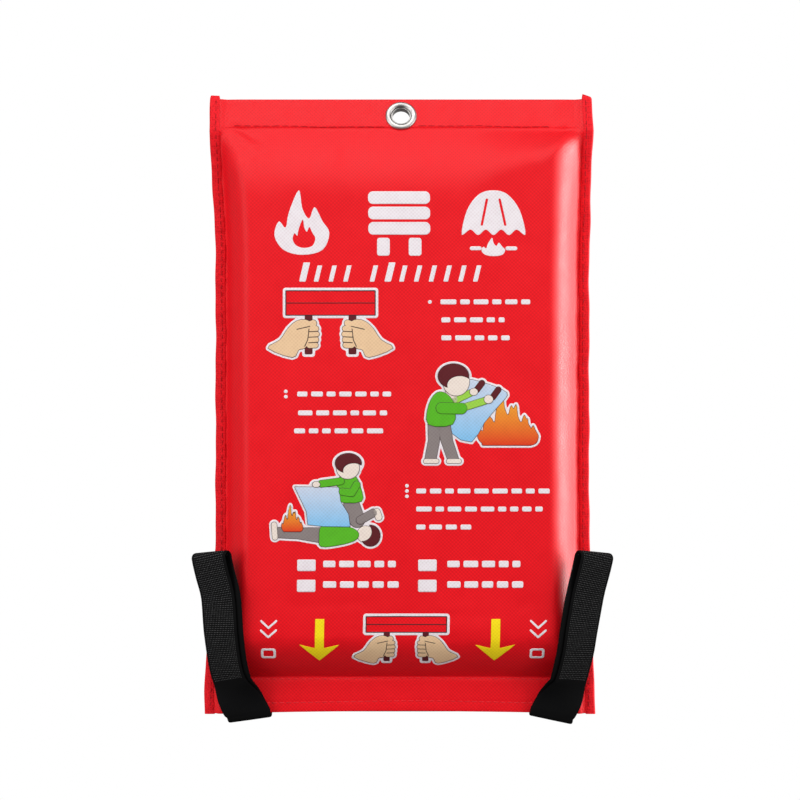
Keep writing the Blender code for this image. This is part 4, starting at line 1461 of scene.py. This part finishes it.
def draw_heading():
    """Three bold symbols: a flame, a folded blanket with its two tabs, and a fire under
    a cover."""
    fire = flame_outline(-45.4, -65.8, 25.5, 29.5)
    white.fill(without(fire, flame_outline(-44.6, -62.6, 10.5, 13.0)), step=0.4)

    layers = [bar(-15.4, -42.6 - 7.0 * k, 12.8, -36.8 - 7.0 * k, 2.3) for k in range(3)]
    tabs = [bar(-11.4, -66.2, -5.6, -58.0, 1.2), bar(3.0, -66.2, 8.8, -58.0, 1.2)]
    white.fill(joined(layers + tabs), step=0.4)

    cover = polygon(
        ((27, -56.5), (29.5, -45.5), (35, -38.2), (41.5, -36.4), (48, -38.2), (53.5, -45.5), (56, -56.5),
         (52, -54.2), (48.5, -56.8), (45, -54.2), (41.5, -56.8), (38, -54.2), (34.5, -56.8), (31, -54.2)), 4
    )
    seams = [line(((36.2, -52), (38.6, -40.6)), 1.1), line(((46.8, -52), (44.4, -40.6)), 1.1)]
    white.fill(without(cover, *seams), step=0.4)
    white.fill(flame_outline(41.5, -66.4, 11.0, 8.4), step=0.4)
    for x in (33.4, 49.6):
        white.fill(line(((x - 1.8, -62.8), (x + 1.8, -62.8)), 1.8), step=0.4)


def draw_divider():
    """A row of slanted dashes under the heading, longer at its two starts."""
    x = -47.0
    for k in range(12):
        width = 3.0 if k in (0, 5) else 2.1
        if k == 4:
            x += 5.4
        low, high = -78.0, (-69.2 if k in (0, 5) else -70.6)
        lean = 0.24 * (high - low)
        corners = ((x, low), (x + width, low), (x + width + lean, high), (x + lean, high))
        white.fill(polygon(corners), step=0.35)
        x += 6.7


def draw_words(left, right, middle, seed, height=2.3):
    """A line of plain dashes in place of words."""
    dice = np.random.default_rng(seed)
    x = left
    while x < right - 2.5:
        width = min(dice.uniform(3.6, 7.4), right - x)
        white.fill(bar(x, middle - height / 2, x + width, middle + height / 2, 0.6), step=0.38)
        x += width + 1.7


def draw_dots(x, z, count):
    """A step's number as dots."""
    for k in range(count):
        white.fill(ellipse((x, z - 2.4 * (k - (count - 1) / 2)), (0.85, 0.85)), step=0.3)


def draw_steps():
    steps = (
        (1, 12.6, ((17.4, 61.0, -87.2), (17.8, 46.5, -95.4), (17.8, 48.8, -103.6))),
        (2, -53.0, ((-47.8, -5.0, -129.2), (-47.4, -6.8, -137.8), (-49.2, -5.9, -146.0))),
        (3, 2.2, ((6.4, 68.0, -173.4), (6.4, 63.8, -181.6), (6.4, 35.1, -189.8))),
    )
    for number, dots_x, lines in steps:
        draw_dots(dots_x, lines[0][2], number)
        for k, (left, right, middle) in enumerate(lines):
            draw_words(left, right, middle, 10 * number + k)


HAND = (
    (-18.4, -5.4), (-13.0, -1.6), (-9.4, 3.6), (-5.6, 6.9), (-1.6, 7.6), (0.8, 5.6),
    (0.2, -2.2), (-1.9, -5.4), (-4.6, -6.2), (-7.4, -9.6),
)


def draw_pull(x, top, width, height, reach, size):
    """A packed blanket with two straps, each held in a fist and pulled down."""
    left, right, low = x - width / 2, x + width / 2, top - height
    strap_low = low - 17.6 * size
    fists, straps, creases = [], [], []
    for sign in (-1, 1):
        strap_x = x + sign * reach / 2
        centre_z = low - 9.4 * size
        shapes = [polygon(HAND, 3), line(((-4.6, 3.4), (2.2, 6.0)), 2.9)]
        for k in range(4):
            shapes.append(line(((0.4, 3.4 - 2.5 * k), (3.6 - 0.25 * abs(k - 1), 3.5 - 2.5 * k)), 2.5))
        fist = moved(joined(shapes), strap_x, centre_z, size, sign > 0)
        fists.append(fist)
        straps.append(bar(strap_x - 1.8 * size, strap_low, strap_x + 1.8 * size, low + 0.2, 0.1))
        marks = [line(((0.0, 4.6 - 2.5 * k), (4.3, 4.8 - 2.5 * k)), 0.4) for k in range(1, 4)]
        marks += [line(((-5.4, 3.2), (0.6, 4.6)), 0.4), line(((0.2, 3.4), (-0.4, -1.6), (-1.8, -4.6)), 0.4)]
        creases += [moved(mark, strap_x, centre_z, size, sign > 0) for mark in marks]
    box = bar(left, low, right, top, 0.2)
    window = bar(left + 0.2, low + 0.2, right - 0.2, top - 0.2, 0.1)
    white.fill(without(joined([box] + fists + straps, 1.15), window), 0)
    outline.fill(without(box, bar(left + 0.45, low + 0.45, right - 0.45, top - 0.45, 0.1)), 1, 0.25)
    outline.fill(line(((left + 0.6, (low + top) / 2), (right - 0.6, (low + top) / 2)), 0.4), 1, 0.25)
    for fist, strap in zip(fists, straps):
        maroon.fill(strap, 1, 0.4)
        outline.fill(swollen(fist, 0.22), 2, 0.3)
        skin.fill(fist, 3, 0.35)
    for crease in creases:
        outline.fill(crease, 4, 0.22)


def figure_layers(parts, x, z, rim=1.1):
    """Prints coloured parts over one white backing. A part is (ink, shape, layer)."""
    placed = [(ink, moved(shape, x, z), layer) for ink, shape, layer in parts]
    white.fill(joined([shape for _, shape, _ in placed], rim), 0)
    for ink, shape, layer in placed:
        outline.fill(swollen(shape, 0.2), 2 * layer - 1, 0.33)
        ink.fill(shape, 2 * layer, 0.36)


def draw_covering():
    """A plain figure lowers a blanket over a fire."""
    parts = [
        (flame, wide_fire(28.0, 9.6, 24.5, 24.5), 1),
        (blue, polygon(((15.5, 22), (15.5, 15), (24.2, 11.2), (30, 20), (36.8, 28), (40.4, 32.4),
                        (38.4, 34.8), (29, 38.4), (20.5, 39.4), (17.5, 32)), 2), 2),
        (grey, polygon(((4.4, 19.4), (10.2, 19.4), (9.6, 11), (8.2, 3.4), (3.0, 3.4), (4.6, 12))), 1),
        (grey, polygon(((9.0, 19.4), (14.8, 19.4), (15.6, 12), (18.4, 3.4), (13.2, 3.4), (10.2, 12))), 1),
        (pale_skin, line(((3.4, 2.4), (8.4, 2.4)), 2.0), 1),
        (pale_skin, line(((13.8, 2.4), (18.6, 2.4)), 2.0), 1),
        (pale_skin, line(((14.6, 34.6), (15.6, 30.6)), 4.4), 3),
        (maroon, line(((28.9, 38.0), (26.6, 34.9)), 2.6), 3),
        (maroon, line(((36.3, 35.0), (33.9, 31.6)), 2.6), 3),
        (sleeve, line(((16.6, 30.0), (23.6, 33.4)), 3.0), 3),
        (pale_skin, ellipse((25.2, 34.0), (1.8, 1.6)), 4),
        (green, polygon(((4.6, 19.2), (4.8, 28), (8.4, 33.6), (13.0, 33.0), (16.6, 27.6),
                         (15.6, 19.2)), 3), 4),
        (sleeve, line(((19.0, 26.4), (30.2, 29.9)), 3.2), 5),
        (pale_skin, ellipse((31.9, 30.6), (2.0, 1.9)), 6),
        (green, line(((10.6, 26.6), (19.6, 26.4)), 5.0), 6),
        (pale_skin, ellipse((17.2, 38.6), (6.0, 6.4)), 5),
        (maroon, hair(16.0, 41.2, 6.9, 5.6), 6),
    ]
    figure_layers(parts, 7.3, -162.2)


def hair(x, z, rx, rz):
    """A plain cap of hair: an ellipse without its lower front."""
    gap = ellipse((x + 0.42 * rx, z - 0.75 * rz), (rx * 0.86, rz * 0.78))
    return without(ellipse((x, z), (rx, rz)), gap)


def draw_rescue():
    """A plain kneeling figure covers a lying one with a blanket."""
    parts = [
        (grey, polygon(((4.2, 10.0), (14, 9.7), (25, 9.8), (24.6, 2.8), (14, 4.7), (4.2, 5.2))), 1),
        (pale_skin, line(((3.0, 11.2), (3.4, 5.4)), 2.4), 2),
        (flame, wide_fire(6.8, 8.0, 8.6, 12.0), 3),
        (grey, line(((38.2, 20.6), (40.8, 13.4)), 7.0), 1),
        (grey, line(((42.2, 13.2), (48.2, 16.6)), 3.6), 2),
        (pale_skin, line(((49.8, 17.0), (50.6, 14.6)), 3.0), 2),
        (green, polygon(((24.6, 10.6), (31, 10.8), (38.6, 9.6), (41.6, 6.8), (39.4, 3.8), (32, 1.8),
                         (24.4, 1.2), (23.6, 5)), 3), 3),
        (pale_skin, ellipse((44.8, 6.8), (4.0, 3.8)), 2),
        (maroon, without(ellipse((46.9, 6.2), (4.4, 4.8)), ellipse((43.2, 8.0), (4.4, 4.4))), 3),
        (blue, polygon(((12.4, 28.4), (32.4, 28.2), (33.2, 21.8), (36.8, 16), (37.6, 10.2), (25.6, 10.4),
                        (18.4, 11.2), (17.8, 17), (14.9, 23.2))), 4),
        (green, polygon(((32.4, 21.8), (31.8, 27.5), (32.4, 32.4), (36, 34.2), (40.2, 33.0), (42.4, 28),
                         (42.8, 21.8)), 3), 3),
        (green, line(((33.4, 31.0), (24.6, 29.8)), 3.2), 5),
        (pale_skin, ellipse((22.2, 29.5), (1.7, 1.3)), 6),
        (green, line(((40.6, 29.4), (38.4, 25.6), (34.2, 26.2)), 3.2), 5),
        (pale_skin, ellipse((36.6, 37.0), (5.2, 5.0)), 4),
        (maroon, hair(36.8, 39.2, 5.9, 4.5), 5),
    ]
    figure_layers(parts, -61.3, -199.9)


def draw_sizes():
    """Four tick boxes with a dash beside each."""
    for left, dash_left, dash_right in ((-47.8, -36.0, -0.9), (7.3, 20.5, 55.6)):
        for top, low in ((-204.6, -209.9), (-213.8, -219.4)):
            white.fill(bar(left, low, left + 8.4, top, 0.3), step=0.5)
            draw_words(dash_left, dash_right, (top + low) / 2 + 0.6, int(-top), 3.0)


def draw_mouth_marks():
    for x in (-37.1, 42.8):
        shaft = bar(x - 2.05, -246.2, x + 2.05, -231.7, 0.1)
        head = ((x, -251.8), (x - 9.2, -243.6), (x - 2.0, -245.4), (x + 2.0, -245.4), (x + 9.2, -243.6))
        yellow.fill(joined([shaft, polygon(head)]), step=0.35)
    for x in (-60.2, 62.2):
        for top in (-232.6, -236.9):
            white.fill(line(((x - 3.4, top), (x, top - 3.2), (x + 3.4, top)), 0.95), step=0.3)
        frame_outer = bar(x - 3.4, -250.6, x + 3.4, -245.6, 1.2)
        frame_inner = bar(x - 2.3, -249.6, x + 2.3, -246.6, 0.7)
        white.fill(without(frame_outer, frame_inner), step=0.3)


def make_print():
    draw_heading()
    draw_divider()
    draw_pull(-32.6, -81.9, 41.2, 11.6, 20.0, 1.0)
    draw_steps()
    draw_covering()
    draw_rescue()
    draw_sizes()
    draw_pull(2.2, -230.4, 37.0, 7.6, 17.7, 0.8)
    draw_mouth_marks()
    for ink in INKS:
        ink.lay()


make_print()

# ---------------------------------------------------------------- stage, light and camera


WHITE = (1.0, 1.0, 1.0, 1.0)
MIDDLE = (0, 0, -0.14)
STRIP_PLACE, STRIP_SIZE = (0.8, 0.13, -0.12), (0.26, 0.9)
# name, place, target, size, power in W, kind of light it doesn't give, whether it passes by
# the straps
LIGHTS = (
    ("key_above", (-0.15, -1.2, 0.95), MIDDLE, (2.2, 1.2), 13.5, None, False),
    ("fill_left", (-1.2, -0.85, 0.12), MIDDLE, (1.0, 1.2), 11.0, None, False),
    ("fill_right", (1.2, -0.7, 0.12), MIDDLE, (1.0, 1.2), 11.0, None, False),
    ("fill_back", (0.25, 1.4, 0.35), MIDDLE, (1.8, 1.4), 20.0, "glossy", False),
    ("strip_right", STRIP_PLACE, MIDDLE, STRIP_SIZE, 8.0, None, True),
    ("strip_gloss", STRIP_PLACE, MIDDLE, STRIP_SIZE, 19.0, "diffuse", True),
    ("sheen_above", (-0.1, -0.55, 1.15), (0, 0, -0.03), (1.3, 0.6), 9.0, "diffuse", True),
)
FLOOR_HALF_SIZE, FLOOR_Z = 0.45, -0.75
CAMERA_PLACE = (-0.0005, -0.699, -0.1319)
CAMERA_LENS = 67.5


def add_object(name, data, place=(0, 0, 0)):
    item = bpy.data.objects.new(name, data)
    item.location = place
    bpy.context.scene.collection.objects.link(item)
    return item


def make_light(name, place, target, size, power, without, passes_straps):
    data = bpy.data.lights.new(name, "AREA")
    data.shape = "RECTANGLE"
    data.size, data.size_y = size
    data.energy = power
    light = add_object(name, data, place)
    light.rotation_euler = (Vector(target) - Vector(place)).to_track_quat("-Z", "Y").to_euler()
    if without:
        setattr(light, "visible_" + without, False)
    if passes_straps:
        group = bpy.data.collections.new(name + "_passes_by")
        for item in bpy.context.scene.objects:
            if item.name.startswith("pull_strap"):
                group.objects.link(item)
        light.light_linking.receiver_collection = group
        for entry in group.collection_objects:
            entry.light_linking.link_state = "EXCLUDE"


def make_world():
    """A white surround, which lights the part less from below than from above."""
    world = bpy.data.worlds.new("studio")
    bpy.context.scene.world = world
    n = Nodes(world)
    lit = n.tree.nodes["Background"]
    height = n.split(n.add("TexCoord").outputs["Generated"])["Z"]
    n.put(lit.inputs["Color"], WHITE)
    n.put(lit.inputs["Strength"], n.ramp(height, -0.7, 0.3, 0.17, 0.28))
    seen = n.add("Background", {"Color": WHITE, "Strength": 1.0})
    to_camera = n.add("LightPath").outputs["Is Camera Ray"]
    both = n.add("MixShader", {0: to_camera, 1: lit, 2: seen})
    n.put(n.tree.nodes["World Output"].inputs["Surface"], both)


def make_floor():
    size = FLOOR_HALF_SIZE
    mesh = bpy.data.meshes.new("studio_floor")
    corners = [(x, y, FLOOR_Z) for x, y in ((-size, -size), (size, -size), (size, size), (-size, size))]
    mesh.from_pydata(corners, [], [(0, 1, 2, 3)])
    n = Nodes("studio_floor_paint")
    grain = n.noise(n.place(), 60.0, 3.0)
    n.finish(Base_Color=n.mix(grain, (0.8, 0.8, 0.8, 1), (0.84, 0.84, 0.84, 1)), Roughness=0.6)
    mesh.materials.append(n.owner)
    floor = add_object("studio_floor", mesh)
    floor.visible_diffuse = False
    floor.visible_glossy = False


def make_camera():
    data = bpy.data.cameras.new("camera")
    data.sensor_width = 36.0
    data.lens = CAMERA_LENS
    camera = add_object("camera", data, CAMERA_PLACE)
    camera.rotation_euler = (math.radians(90), 0, 0)
    bpy.context.scene.camera = camera


make_world()
make_floor()
for settings in LIGHTS:
    make_light(*settings)
make_camera()
bpy.context.scene.view_settings.view_transform = "Standard"
